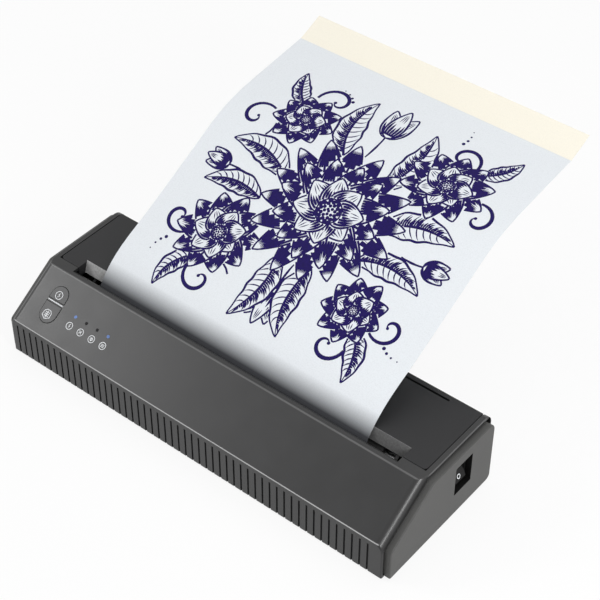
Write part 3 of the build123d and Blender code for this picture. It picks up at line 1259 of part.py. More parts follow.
with BuildPart() as battery_cells:
    for start in (-CELL_LENGTH, 0.0):
        cell_axis = (CELL_Y, FLOOR_THICKNESS + CELL_RADIUS)
        add_disc(cell_axis, CELL_RADIUS, start, CELL_LENGTH - CELL_GAP)
save(battery_cells.part, "battery_cells")

with BuildPart() as port_board:
    with BuildSketch(Plane.XY.offset(BOARD_BOTTOM)):
        with Locations((PORT_BOARD_X, PORT_BOARD_Y)):
            Rectangle(PORT_BOARD_LENGTH, PORT_BOARD_DEPTH)
    extrude(amount=BOARD_THICKNESS)
save(port_board.part, "port_board")

PORT_REAR_Y = REAR_Y - PORT_FACE_INSET
JACK_BODY_REAR_Y = INNER_REAR_Y - SEAT_GAP
with BuildPart() as power_jack:
    with BuildSketch(Plane.XY.offset(BOARD_TOP)):
        with Locations((JACK_X, JACK_BODY_REAR_Y - JACK_BODY_DEPTH / 2)):
            Rectangle(JACK_BODY_WIDTH, JACK_BODY_DEPTH)
    extrude(amount=2 * (PORT_Z - BOARD_TOP))
    with BuildSketch(Plane.XZ.offset(-JACK_BODY_REAR_Y)):
        with Locations((JACK_X, PORT_Z)):
            Circle(JACK_RADIUS)
    extrude(amount=JACK_BODY_REAR_Y - PORT_REAR_Y)
    with BuildSketch(Plane.XZ.offset(-PORT_REAR_Y)):
        with Locations((JACK_X, PORT_Z)):
            Circle(JACK_BORE_RADIUS)
            Circle(JACK_PIN_RADIUS, mode=Mode.SUBTRACT)
    extrude(amount=JACK_BORE_DEPTH, mode=Mode.SUBTRACT)
save(power_jack.part, "power_jack")

with BuildPart() as usb_port:
    with BuildSketch(Plane.XZ.offset(-PORT_REAR_Y)):
        with Locations((USB_X, BOARD_TOP + USB_HEIGHT / 2)):
            RectangleRounded(USB_WIDTH, USB_HEIGHT, USB_CORNER_RADIUS)
    extrude(amount=USB_DEPTH)
    with BuildSketch(Plane.XZ.offset(-PORT_REAR_Y)):
        with Locations((USB_X, BOARD_TOP + USB_HEIGHT / 2)):
            RectangleRounded(
                USB_WIDTH - 2 * USB_SHELL,
                USB_HEIGHT - 2 * USB_SHELL,
                USB_CORNER_RADIUS - USB_SHELL,
            )
            Rectangle(USB_WIDTH - 2 * USB_TONGUE_MARGIN, USB_TONGUE, mode=Mode.SUBTRACT)
    extrude(amount=USB_BORE_DEPTH, mode=Mode.SUBTRACT)
save(usb_port.part, "usb_port")

# ---------------------------------------------------------------- buttons and lamps
FLANGE_TOP = -SHELL_WALL - SEAT_GAP
FEED_STEM_W = BUTTON_BOTTOM + BUTTON_STEM_INSET
POWER_STEM_W = BUTTON_TOP - BUTTON_STEM_INSET
SLOPE_NORMAL = Axis((0, 0, 0), (0, -SLOPE_SIN, SLOPE_COS))


def grown(area, amount):
    """A copy of a sketch, grown or shrunk all round."""
    with BuildSketch(Plane.XY) as result:
        add(area)
        offset(amount=amount)
    return result.sketch


def add_button(area, stem_w):
    """A key cap with its flange under the panel and a stem over its switch."""
    with BuildSketch(slope_plane(-FLANGE_TOP)) as cap:
        add(grown(area, -BUTTON_GAP))
    extrude(cap.sketch, amount=-FLANGE_TOP + BUTTON_PROUD)
    fillet(faces().sort_by(SLOPE_NORMAL)[-1].edges(), BUTTON_EDGE_RADIUS)
    with BuildSketch(slope_plane(-FLANGE_TOP)) as flange:
        add(grown(area, BUTTON_FLANGE))
    extrude(flange.sketch, amount=-BUTTON_FLANGE_THICKNESS)
    with BuildSketch(slope_plane(-FLANGE_TOP)) as stem:
        with Locations((BUTTON_X, stem_w)):
            Circle(BUTTON_STEM_RADIUS)
    extrude(stem.sketch, amount=BUTTON_STEM_BOTTOM - FLANGE_TOP)


with BuildPart() as feed_button:
    add_button(FEED_BUTTON, FEED_STEM_W)
save(feed_button.part, "feed_button")

with BuildPart() as power_button:
    add_button(POWER_BUTTON, POWER_STEM_W)
save(power_button.part, "power_button")

with BuildPart() as separator_bar:
    with BuildSketch(slope_plane(SEPARATOR_DEPTH)):
        with Locations((BUTTON_X, BUTTON_SPLIT)):
            Rectangle(SEPARATOR_LENGTH, SEPARATOR_WIDTH)
    extrude(amount=SEPARATOR_DEPTH + SEPARATOR_PROUD)
save(separator_bar.part, "separator_bar")

BOARD_LEFT_X, BOARD_RIGHT_X = [-HALF_LENGTH + reach for reach in CONTROL_BOARD_FROM_END]
with BuildPart() as control_board:
    with BuildSketch(slope_plane(CONTROL_BOARD_INSET)):
        with Locations(((BOARD_LEFT_X + BOARD_RIGHT_X) / 2, (BUTTON_BOTTOM + BUTTON_TOP) / 2)):
            Rectangle(
                BOARD_RIGHT_X - BOARD_LEFT_X,
                BUTTON_TOP - BUTTON_BOTTOM - 2 * CONTROL_BOARD_MARGIN,
            )
    extrude(amount=-BOARD_THICKNESS)
save(control_board.part, "control_board")

TACT_PLACES = [(BUTTON_X, FEED_STEM_W), (BUTTON_X, POWER_STEM_W)]
with BuildPart() as tact_switches:
    plunger_top = CONTROL_BOARD_INSET + BUTTON_STEM_BOTTOM - BUTTON_TRAVEL - SEAT_GAP
    with BuildSketch(slope_plane(CONTROL_BOARD_INSET)):
        with Locations(*TACT_PLACES):
            Rectangle(TACT_SIZE, TACT_SIZE)
    extrude(amount=plunger_top - TACT_PLUNGER_HEIGHT)
    with BuildSketch(slope_plane(CONTROL_BOARD_INSET)):
        with Locations(*TACT_PLACES):
            Circle(TACT_PLUNGER_RADIUS)
    extrude(amount=plunger_top)
save(tact_switches.part, "tact_switches")

LIT_LAMPS = (LAMP_X[0], LAMP_X[3])
DARK_LAMPS = (LAMP_X[1], LAMP_X[2])


def add_lamps(places):
    """Round light pipes from the lamps on the control board up to the panel."""
    with BuildSketch(slope_plane(CONTROL_BOARD_INSET)) as pipes:
        with Locations(*[(x, LAMP_SLOPE) for x in places]):
            Circle(LAMP_RADIUS - RUNNING_CLEARANCE)
    extrude(pipes.sketch, amount=CONTROL_BOARD_INSET + LAMP_PROUD)


with BuildPart() as lit_lamps:
    add_lamps(LIT_LAMPS)
save(lit_lamps.part, "lit_lamps")

with BuildPart() as dark_lamps:
    add_lamps(DARK_LAMPS)
save(dark_lamps.part, "dark_lamps")

# ---------------------------------------------------------------- rocker switch
BEZEL_FACE_X = SIDE_FACE_X + BEZEL_THICKNESS
ROCKER_AXIS_X = BEZEL_FACE_X - ROCKER_AXIS_DEPTH
CAVITY_BACK_X = ROCKER_AXIS_X - ROCKER_CAVITY_DEPTH
CAVITY_HEIGHT = 2 * (ROCKER_RADIUS + ROCKER_GAP)
CAVITY_WIDTH = ROCKER_WIDTH + 2 * ROCKER_GAP
SWITCH_BACK_X = SIDE_FACE_X - SWITCH_BODY_DEPTH
with BuildPart() as switch_housing:
    with BuildSketch(side_plane(SWITCH_BACK_X)):
        with Locations((SWITCH_Y, SWITCH_Z)):
            Rectangle(SWITCH_BODY_WIDTH, SWITCH_BODY_HEIGHT)
    extrude(amount=SWITCH_BODY_DEPTH)
    with BuildSketch(side_plane(SIDE_FACE_X)):
        with Locations((SWITCH_Y, SWITCH_Z)):
            RectangleRounded(BEZEL_WIDTH, BEZEL_HEIGHT, BEZEL_CORNER_RADIUS)
    extrude(amount=BEZEL_THICKNESS)
    with BuildSketch(side_plane(CAVITY_BACK_X)):
        with Locations((SWITCH_Y, SWITCH_Z)):
            Rectangle(CAVITY_WIDTH, CAVITY_HEIGHT)
    extrude(amount=BEZEL_FACE_X - CAVITY_BACK_X, mode=Mode.SUBTRACT)
save(switch_housing.part, "switch_housing")

with BuildPart() as rocker:
    end_z = sqrt(ROCKER_RADIUS**2 - ROCKER_END_X**2)
    back_z = sqrt(ROCKER_RADIUS**2 - ROCKER_BACK_X**2)
    with BuildSketch(Plane.XZ.offset(-(SWITCH_Y - ROCKER_WIDTH / 2))):
        with BuildLine():
            Polyline((ROCKER_END_X, -end_z), (ROCKER_MIDDLE_X, 0), (ROCKER_END_X, end_z))
            ThreePointArc((ROCKER_END_X, end_z), (0, ROCKER_RADIUS), (ROCKER_BACK_X, back_z))
            Line((ROCKER_BACK_X, back_z), (ROCKER_BACK_X, -back_z))
            ThreePointArc((ROCKER_BACK_X, -back_z), (0, -ROCKER_RADIUS), (ROCKER_END_X, -end_z))
        make_face()
        Circle(ROCKER_PIN_RADIUS + RUNNING_CLEARANCE, mode=Mode.SUBTRACT)
    extrude(amount=-ROCKER_WIDTH)
ROCKER_AXIS = Axis((0, 0, 0), (0, 1, 0))
placed_rocker = rocker.part.rotate(ROCKER_AXIS, -ROCKER_TILT)
placed_rocker = placed_rocker.moved(Location((ROCKER_AXIS_X, 0, SWITCH_Z)))
save(placed_rocker, "rocker")

with BuildPart() as rocker_pin:
    with BuildSketch(Plane.XZ.offset(-(SWITCH_Y - CAVITY_WIDTH / 2))):
        with Locations((ROCKER_AXIS_X, SWITCH_Z)):
            Circle(ROCKER_PIN_RADIUS)
    extrude(amount=-CAVITY_WIDTH)
save(rocker_pin.part, "rocker_pin")

# ---------------------------------------------------------------- feet and screws
with BuildPart() as rubber_feet:
    with BuildSketch(Plane.XY.offset(-FOOT_HEIGHT)):
        with Locations(*FEET):
            Circle(FOOT_RADIUS)
    extrude(amount=FOOT_HEIGHT)
    chamfer(faces().group_by(Axis.Z)[0].edges(), FOOT_CHAMFER)
save(rubber_feet.part, "rubber_feet")


def add_screws(places, head_z, length, upward):
    """Pan-head screws, with the head below the thread when they point upward."""
    way = 1 if upward else -1
    with BuildSketch(Plane.XY.offset(head_z)) as heads:
        with Locations(*places):
            Circle(SCREW_HEAD_RADIUS)
    extrude(heads.sketch, amount=way * SCREW_HEAD_HEIGHT)
    with BuildSketch(Plane.XY.offset(head_z + way * SCREW_HEAD_HEIGHT)) as threads:
        with Locations(*places):
            Circle(SCREW_RADIUS)
    extrude(threads.sketch, amount=way * length)


with BuildPart() as case_screws:
    add_screws(CASE_SCREWS, 0.0, CASE_SCREW_LENGTH, True)
save(case_screws.part, "case_screws")

with BuildPart() as frame_screws:
    frame_head_z = FLOOR_THICKNESS + FRAME_THICKNESS + SCREW_HEAD_HEIGHT
    add_screws(FRAME_SCREWS, frame_head_z, FRAME_THICKNESS + SCREW_BITE - SEAT_GAP, False)
save(frame_screws.part, "frame_screws")

with BuildPart() as board_screws:
    board_head_z = BOARD_TOP + SCREW_HEAD_HEIGHT
    add_screws(BOARD_SCREWS, board_head_z, BOARD_THICKNESS + BOARD_SCREW_BITE, False)
save(board_screws.part, "board_screws")

# ---------------------------------------------------------------- stencil sheet
def from_notch(steps):
    """Places in (Y, Z), given from the notch's rear edge at the deck."""
    return [(NOTCH_REAR_Y + y, DECK_HEIGHT + z) for y, z in steps]


with BuildPart() as stencil_sheet:
    with BuildSketch(side_plane(SHEET_X - SHEET_WIDTH / 2)):
        with BuildLine():
            Spline(*from_notch(SHEET_STEPS))
        trace(line_width=SHEET_THICKNESS)
    extrude(amount=SHEET_WIDTH)
save(stencil_sheet.part, "stencil_sheet")

with BuildPart() as sheet_header:
    with BuildSketch(side_plane(SHEET_X - SHEET_WIDTH / 2)):
        with BuildLine():
            Spline(*from_notch(HEADER_STEPS))
        trace(line_width=HEADER_THICKNESS)
    extrude(amount=SHEET_WIDTH)
save(sheet_header.part, "sheet_header")
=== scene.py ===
"""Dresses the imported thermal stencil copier: finishes, the printed sheet, marks, lights and camera."""

import json
import math

import bpy
from mathutils import Matrix, Vector


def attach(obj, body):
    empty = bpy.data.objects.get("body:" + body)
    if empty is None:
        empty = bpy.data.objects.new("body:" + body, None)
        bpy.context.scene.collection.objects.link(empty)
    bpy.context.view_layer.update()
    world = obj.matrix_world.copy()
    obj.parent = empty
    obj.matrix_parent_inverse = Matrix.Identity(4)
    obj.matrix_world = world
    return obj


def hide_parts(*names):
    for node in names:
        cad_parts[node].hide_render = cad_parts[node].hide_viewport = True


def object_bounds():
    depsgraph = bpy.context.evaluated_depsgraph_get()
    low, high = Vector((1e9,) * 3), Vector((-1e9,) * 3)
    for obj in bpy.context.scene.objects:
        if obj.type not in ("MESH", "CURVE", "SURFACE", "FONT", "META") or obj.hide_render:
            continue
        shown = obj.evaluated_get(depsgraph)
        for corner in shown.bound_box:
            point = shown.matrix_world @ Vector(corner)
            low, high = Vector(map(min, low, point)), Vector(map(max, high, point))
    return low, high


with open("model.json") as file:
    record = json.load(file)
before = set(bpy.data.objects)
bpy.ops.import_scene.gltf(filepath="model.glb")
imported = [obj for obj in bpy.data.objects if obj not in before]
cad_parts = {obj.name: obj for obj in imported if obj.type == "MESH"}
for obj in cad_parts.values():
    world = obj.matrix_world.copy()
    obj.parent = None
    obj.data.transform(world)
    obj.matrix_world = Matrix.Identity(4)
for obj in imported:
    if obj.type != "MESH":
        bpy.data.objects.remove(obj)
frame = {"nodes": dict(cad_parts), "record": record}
cad_low, cad_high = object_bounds()

MM = 0.001

# ---------------------------------------------------------------- sizes shared with the solids
SHELL_LENGTH = 292.8 * MM
HALF_LENGTH = SHELL_LENGTH / 2
FRONT_HEIGHT = 27.6 * MM
DECK_HEIGHT = 50.8 * MM
SLOPE_ANGLE = math.radians(33.2)
FRONT_Y = -50.0 * MM
DECK_FRONT_Y = FRONT_Y + (DECK_HEIGHT - FRONT_HEIGHT) / math.tan(SLOPE_ANGLE)
SWITCH_PLACE = (142.0 * MM, 21.4 * MM, 28.5 * MM)
SHEET_X = -4.3 * MM
SHEET_WIDTH = 210.0 * MM
SHEET_THICKNESS = 0.3 * MM
HEADER_THICKNESS = 0.45 * MM

# ---------------------------------------------------------------- scene basics
scene = bpy.context.scene
scene.view_settings.view_transform = "Standard"


def collection_link(obj):
    scene.collection.objects.link(obj)
    return obj


def mesh_object(name, verts, faces, smooth=True):
    """A mesh object in metres, smooth shaded where its form is round."""
    mesh = bpy.data.meshes.new(name)
    mesh.from_pydata([tuple(v) for v in verts], [], faces)
    mesh.validate()
    mesh.update()
    for polygon in mesh.polygons:
        polygon.use_smooth = smooth
    return collection_link(bpy.data.objects.new(name, mesh))


# ---------------------------------------------------------------- materials


def new_material(name):
    material = bpy.data.materials.new(name)
    material.use_nodes = True
    nodes = material.node_tree.nodes
    nodes.clear()
    output = nodes.new("ShaderNodeOutputMaterial")
    shader = nodes.new("ShaderNodeBsdfPrincipled")
    material.node_tree.links.new(shader.outputs["BSDF"], output.inputs["Surface"])
    return material, material.node_tree, shader


def noise(tree, scale, detail=2.0, stretch=None):
    """Noise in object space, with an optional stretch per axis."""
    place = tree.nodes.new("ShaderNodeTexCoord")
    texture = tree.nodes.new("ShaderNodeTexNoise")
    texture.inputs["Scale"].default_value = scale
    texture.inputs["Detail"].default_value = detail
    if stretch:
        mapping = tree.nodes.new("ShaderNodeMapping")
        mapping.inputs["Scale"].default_value = stretch
        tree.links.new(place.outputs["Object"], mapping.inputs["Vector"])
        tree.links.new(mapping.outputs["Vector"], texture.inputs["Vector"])
    else:
        tree.links.new(place.outputs["Object"], texture.inputs["Vector"])
    return texture


def ramp(tree, source, stops):
    """A colour ramp over a noise's factor: stops are (position, colour)."""
    node = tree.nodes.new("ShaderNodeValToRGB")
    elements = node.color_ramp.elements
    while len(elements) < len(stops):
        elements.new(0.5)
    for element, (position, colour) in zip(elements, stops):
        element.position = position
        element.color = (*colour, 1.0)
    tree.links.new(source.outputs["Fac"], node.inputs["Fac"])
    return node


def scaled(colour, factor):
    return tuple(min(1.0, c * factor) for c in colour)


# Detail of the noise that mottles a colour and of the noise behind a fine bump
MOTTLE_DETAIL = 4.0
GRAIN_DETAIL = 3.0
GRAIN_DEPTH = 0.05 * MM
TOOTH_DEPTH = 0.04 * MM
# Where the darker and the paler tone of a mottled colour stand on its ramp
TONE_LOW = 0.3
TONE_HIGH = 0.7
SMOOTHEST = 0.02


def grained(tree, shader, scale, strength, depth, stretch=None):
    """A fine bump over the shader's surface."""
    texture = noise(tree, scale, GRAIN_DETAIL, stretch)
    bump = tree.nodes.new("ShaderNodeBump")
    bump.inputs["Strength"].default_value = strength
    bump.inputs["Distance"].default_value = depth
    tree.links.new(texture.outputs["Fac"], bump.inputs["Height"])
    tree.links.new(bump.outputs["Normal"], shader.inputs["Normal"])


def finish_material(
    name,
    colour,
    roughness,
    grain=0.0,
    grain_scale=3000.0,
    mottle=0.08,
    mottle_scale=60.0,
    roughness_spread=0.06,
    metallic=0.0,
    specular=0.5,
    stretch=None,
):
    """A moulded, painted or metal finish with mottled colour, uneven gloss and a fine grain."""
    material, tree, shader = new_material(name)
    shader.inputs["Metallic"].default_value = metallic
    shader.inputs["Specular IOR Level"].default_value = specular
    cloud = noise(tree, mottle_scale, MOTTLE_DETAIL, stretch)
    tone = ramp(
        tree,
        cloud,
        [(TONE_LOW, scaled(colour, 1 - mottle)), (TONE_HIGH, scaled(colour, 1 + mottle))],
    )
    tree.links.new(tone.outputs["Color"], shader.inputs["Base Color"])
    gloss = tree.nodes.new("ShaderNodeMapRange")
    gloss.inputs["To Min"].default_value = max(SMOOTHEST, roughness - roughness_spread)
    gloss.inputs["To Max"].default_value = min(1.0, roughness + roughness_spread)
    tree.links.new(cloud.outputs["Fac"], gloss.inputs["Value"])
    tree.links.new(gloss.outputs["Result"], shader.inputs["Roughness"])
    if grain:
        grained(tree, shader, grain_scale, grain, GRAIN_DEPTH, stretch)
    return material


LENS_CLOUD_SCALE = 900.0
LENS_DIM = 0.7
LENS_BRIGHT = 1.25


def glow_material(name, colour, strength):
    """A lit lens: coloured plastic with light of its own, uneven across its face."""
    material, tree, shader = new_material(name)
    cloud = noise(tree, LENS_CLOUD_SCALE)
    tone = ramp(
        tree,
        cloud,
        [(TONE_LOW, scaled(colour, LENS_DIM)), (TONE_HIGH, scaled(colour, LENS_BRIGHT))],
    )
    tree.links.new(tone.outputs["Color"], shader.inputs["Base Color"])
    tree.links.new(tone.outputs["Color"], shader.inputs["Emission Color"])
    shader.inputs["Emission Strength"].default_value = strength
    shader.inputs["Roughness"].default_value = 0.3
    return material


FLECK_SCALE = 1400.0
FLECK_LOW = 0.32
FLECK_MIDDLE = 0.5
TOOTH_SCALE = 2600.0
TOOTH_STRENGTH = 0.25


def paper_material(name, colour, fibre=0.05):
    """Paper with faint fibres and flecks in its colour, and a soft tooth."""
    material, tree, shader = new_material(name)
    fleck = noise(tree, FLECK_SCALE, MOTTLE_DETAIL)
    stops = [
        (FLECK_LOW, scaled(colour, 1 - fibre)),
        (FLECK_MIDDLE, colour),
        (TONE_HIGH, scaled(colour, 1 + fibre / 2)),
    ]
    tone = ramp(tree, fleck, stops)
    tree.links.new(tone.outputs["Color"], shader.inputs["Base Color"])
    shader.inputs["Roughness"].default_value = 0.75
    shader.inputs["Specular IOR Level"].default_value = 0.25
    grained(tree, shader, TOOTH_SCALE, TOOTH_STRENGTH, TOOTH_DEPTH)
    return material


def masked(tree, value, low, high):
    """0 up to low, 1 from high on, and an even rise between; high may be the lower of the two."""
    node = tree.nodes.new("ShaderNodeMapRange")
    node.inputs["From Min"].default_value = low
    node.inputs["From Max"].default_value = high
    tree.links.new(value, node.inputs["Value"])
    return node.outputs["Result"]


def near(tree, value, origin, reach):
    """Rises from 0 to 1 between two distances from an origin."""
    start, full = reach
    return masked(tree, value, origin + start, origin + full)


def multiplied(tree, shader, share, shade):
    """Multiplies the shader's linked base colour by a shade or a gain where the share is 1, painting shade
    or a highlight into the colour.
    """
    source = shader.inputs["Base Color"].links[0].from_socket
    mix = tree.nodes.new("ShaderNodeMix")
    mix.data_type = "RGBA"
    mix.blend_type = "MULTIPLY"
    tree.links.new(share, mix.inputs["Factor"])
    tree.links.new(source, mix.inputs[6])
    mix.inputs[7].default_value = (*shade, 1.0)
    tree.links.new(mix.outputs[2], shader.inputs["Base Color"])


def math_node(tree, operation, *sockets):
    """A math node whose first inputs are linked to the sockets."""
    node = tree.nodes.new("ShaderNodeMath")
    node.operation = operation
    for socket, entry in zip(sockets, node.inputs):
        tree.links.new(socket, entry)
    return node


def product(tree, a, b):
    return math_node(tree, "MULTIPLY", a, b).outputs["Value"]


def absolute(tree, value):
    return math_node(tree, "ABSOLUTE", value).outputs["Value"]


def axes_of(tree, coordinate="Object"):
    """The X, Y and Z sockets of a texture coordinate."""
    place = tree.nodes.new("ShaderNodeTexCoord")
    axes = tree.nodes.new("ShaderNodeSeparateXYZ")
    tree.links.new(place.outputs[coordinate], axes.inputs["Vector"])
    return axes.outputs


def principled(material):
    """The material's main shader."""
    return next(n for n in material.node_tree.nodes if n.type == "BSDF_PRINCIPLED")


# Painted shade that darkens the walls of the grooves at the shell's ends
GROOVE_PAINTED_SHADE = (0.03, 0.03, 0.03)
# Painted highlight along the ridge between the slope and the front wall
RIDGE_PAINTED_HIGHLIGHT = (26.0, 26.0, 25.4)
# Painted highlight along the deck's front and side edges
EDGE_PAINTED_HIGHLIGHT = (5.0, 5.0, 4.9)
# Pairs of distances from an edge of the shell: where a painted shade or highlight starts and where it is
# full
GROOVE_OUTER = (-0.2 * MM, -0.3 * MM)
GROOVE_INNER = (-2.6 * MM, -2.5 * MM)
RIDGE_BELOW = (-0.5 * MM, -0.1 * MM)
RIDGE_ABOVE = (0.35 * MM, 0.05 * MM)
RIDGE_BEHIND = (0.8 * MM, 0.6 * MM)
EDGE_BELOW = (-0.5 * MM, -0.3 * MM)
EDGE_BEHIND = (0.5 * MM, 0.3 * MM)
EDGE_INWARD = (-0.7 * MM, -0.5 * MM)
# How far a face has to turn to the side to count as a wall of the groove
FACING_START = 0.85
FACING_FULL = 0.95


def shell_material():
    """Satin shell plastic, with painted shade in the end grooves and painted highlights at the slope's foot
    and the deck's edges.
    """
    material = finish_material("shell_plastic", (0.018, 0.018, 0.0185), 0.32, grain=0.12, specular=0.42)
    tree = material.node_tree
    shader = principled(material)
    spot = axes_of(tree)
    way = axes_of(tree, "Normal")
    across = absolute(tree, spot["X"])
    # The groove walls get a painted shade
    behind = near(tree, across, HALF_LENGTH, GROOVE_OUTER)
    sideways = masked(tree, absolute(tree, way["X"]), FACING_START, FACING_FULL)
    outward = near(tree, across, HALF_LENGTH, GROOVE_INNER)
    groove_painted_shade = product(tree, product(tree, behind, sideways), outward)
    multiplied(tree, shader, groove_painted_shade, GROOVE_PAINTED_SHADE)
    # A painted highlight along the slope's foot
    above = near(tree, spot["Z"], FRONT_HEIGHT, RIDGE_BELOW)
    below = near(tree, spot["Z"], FRONT_HEIGHT, RIDGE_ABOVE)
    front = near(tree, spot["Y"], FRONT_Y, RIDGE_BEHIND)
    ridge_painted_highlight = product(tree, product(tree, above, below), front)
    multiplied(tree, shader, ridge_painted_highlight, RIDGE_PAINTED_HIGHLIGHT)
    # A painted highlight along the deck's front and side edges
    top = near(tree, spot["Z"], DECK_HEIGHT, EDGE_BELOW)
    deck_front = near(tree, spot["Y"], DECK_FRONT_Y, EDGE_BEHIND)
    deck_side = near(tree, across, HALF_LENGTH, EDGE_INWARD)
    multiplied(tree, shader, product(tree, top, deck_front), EDGE_PAINTED_HIGHLIGHT)
    multiplied(tree, shader, product(tree, top, deck_side), EDGE_PAINTED_HIGHLIGHT)
    return material


# Painted shade that darkens the walls of the switch recess
RECESS_PAINTED_SHADE = (0.03, 0.03, 0.03)
RECESS_INWARD = (-0.12 * MM, -0.2 * MM)
RECESS_HALF_WIDTH = 8.3 * MM
RECESS_HALF_HEIGHT = 11.4 * MM
RECESS_FADE = 0.1 * MM
RIGHT_HALF_FADE = 0.01


def cap_material():
    """Paler satin plastic of the end caps, with a painted shade on the walls of the switch recess."""
    material = finish_material("cap_plastic", (0.074, 0.074, 0.072), 0.5, grain=0.15, specular=0.25)
    tree = material.node_tree
    spot = axes_of(tree)
    share = near(tree, spot["X"], cad_high[0], RECESS_INWARD)
    sides = (("Y", SWITCH_PLACE[1], RECESS_HALF_WIDTH), ("Z", SWITCH_PLACE[2], RECESS_HALF_HEIGHT))
    for axis, middle, reach in sides:
        for side in (-1, 1):
            edge = middle + side * reach
            inside = masked(tree, spot[axis], edge + side * RECESS_FADE, edge)
            share = product(tree, share, inside)
    right = masked(tree, spot["X"], 0.0, RIGHT_HALF_FADE)
    multiplied(tree, principled(material), product(tree, share, right), RECESS_PAINTED_SHADE)
    return material


# Painted shade that darkens the strip towards its right end
STRIP_RIGHT_PAINTED_SHADE = (0.33, 0.33, 0.33)


def strip_material():
    """Grained strip plastic, with a painted shade that darkens it towards its right end."""
    material = finish_material(
        "strip_plastic", (0.42, 0.42, 0.42), 0.55, grain=0.4, grain_scale=1500, mottle=0.2, mottle_scale=900
    )
    tree = material.node_tree
    share = masked(tree, axes_of(tree)["X"], -SHEET_WIDTH / 2, SHEET_WIDTH / 2)
    multiplied(tree, principled(material), share, STRIP_RIGHT_PAINTED_SHADE)
    return material


def ink_material(name, colour):
    """Printed ink: a deep violet that varies a little in strength and shine."""
    return finish_material(name, colour, 0.6, mottle=0.25, mottle_scale=700.0, specular=0.15)


MATERIALS = {
    "shell": shell_material(),
    "lid": finish_material(
        "lid_plastic", (0.012, 0.012, 0.013), 0.5, grain=0.3, grain_scale=1800, specular=0.32
    ),
    "cap": cap_material(),
    "strip": strip_material(),
    "dark_plastic": finish_material("dark_plastic", (0.004, 0.004, 0.004), 0.6, grain=0.15, specular=0.1),
    "gloss_black": finish_material(
        "gloss_black", (0.003, 0.003, 0.003), 0.16, roughness_spread=0.04, specular=0.16
    ),
    "button": finish_material("button_plastic", (0.032, 0.032, 0.033), 0.4, grain=0.1),
    "print_white": finish_material("printed_white", (0.70, 0.72, 0.74), 0.5, mottle=0.05),
    "lens_lit": glow_material("lit_lens", (0.02, 0.10, 0.34), 0.15),
    "lens_dark": finish_material("dark_lens", (0.003, 0.003, 0.004), 0.35, specular=0.1),
    "rubber": finish_material("black_rubber", (0.012, 0.012, 0.012), 0.75, grain=0.2),
    "coated_steel": finish_material("coated_steel", (0.008, 0.008, 0.009), 0.5, grain=0.1),
    "steel": finish_material(
        "rolled_steel", (0.52, 0.52, 0.53), 0.35, grain=0.1, metallic=1.0, stretch=(1, 12, 12)
    ),
    "aluminium": finish_material(
        "extruded_aluminium", (0.66, 0.67, 0.68), 0.4, grain=0.1, metallic=1.0, stretch=(1, 20, 20)
    ),
    "gear": finish_material("acetal_white", (0.72, 0.71, 0.66), 0.38),
    "ceramic": finish_material("glazed_ceramic", (0.66, 0.65, 0.60), 0.2),
    "board": finish_material("solder_mask", (0.012, 0.12, 0.05), 0.3, mottle=0.15, mottle_scale=300),
    "component": finish_material("component_epoxy", (0.012, 0.012, 0.012), 0.5, grain=0.1),
    "cell": finish_material("shrink_sleeve", (0.04, 0.12, 0.32), 0.3),
}
# The base and its rear wall are seen from behind, so they are paler than the dark pieces inside
BASE_PLASTIC = finish_material("base_plastic", (0.013, 0.013, 0.0135), 0.45, grain=0.2, specular=0.42)
PRINT_WHITE = MATERIALS["print_white"]
for entry in frame["record"]["subparts"]:
    material = MATERIALS.get(entry["material_slot"])
    if entry["node"] == "bottom_shell":
        material = BASE_PLASTIC
    if material:
        node = frame["nodes"][entry["node"]]
        node.data.materials.clear()
        node.data.materials.append(material)

# ---------------------------------------------------------------- the sheet
# Side profile in millimetres: the same points as the solid sheet's
SHEET_LINE = [
    (-8.4, 38.6),
    (-4.9, 44.6),
    (0.85, 51.75),
    (14.0, 62.3),
    (34.2, 72.4),
    (60.5, 85.9),
    (88.8, 100.7),
    (113.5, 113.1),
    (135.0, 118.9),
    (160.0, 122.3),
    (174.0, 124.0),
    (194.0, 126.2),
]
HEADER_LINE = [(194.08, 126.23), (203.6, 130.0), (213.3, 134.2)]


def spline_through(points, steps=24):
    """A smooth line through the points, with their spacing kept: a natural cubic spline."""
    count = len(points)
    knots = [0.0]
    for a, b in zip(points, points[1:]):
        knots.append(knots[-1] + math.dist(a, b))
    columns = []
    for axis in (0, 1):
        values = [p[axis] for p in points]
        second = [0.0] * count
        work = [0.0] * count
        for i in range(1, count - 1):
            before = knots[i] - knots[i - 1]
            after = knots[i + 1] - knots[i]
            share = before / (before + after)
            pivot = share * second[i - 1] + 2.0
            second[i] = (share - 1.0) / pivot
            slope = (values[i + 1] - values[i]) / after - (values[i] - values[i - 1]) / before
            work[i] = (6.0 * slope / (before + after) - share * work[i - 1]) / pivot
        for i in range(count - 2, -1, -1):
            second[i] = second[i] * second[i + 1] + work[i]
        columns.append((values, second))
    line = []
    for i in range(count - 1):
        gap = knots[i + 1] - knots[i]
        for step in range(steps + (i == count - 2)):
            b = step / steps
            a = 1.0 - b
            line.append(
                tuple(
                    a * values[i]
                    + b * values[i + 1]
                    + ((a**3 - a) * second[i] + (b**3 - b) * second[i + 1]) * gap**2 / 6.0
                    for values, second in columns
                )
            )
    return line


# The sheet's unevenness: where it starts and over what length it grows, in metres along the sheet,
# and its heights in millimetres
RIPPLE_START = 0.04
RIPPLE_GROWTH = 0.15
RIPPLE_HEIGHT = 0.16
EDGE_RIPPLE_HEIGHT = 0.10
# Its waves in radians per metre of sheet, and their shifts in radians
WAVES_ACROSS = 38.0
WAVES_ALONG = 24.0
EDGE_WAVES_ALONG = 60.0
SHIFT_ACROSS = 0.6
SHIFT_ALONG = 1.0


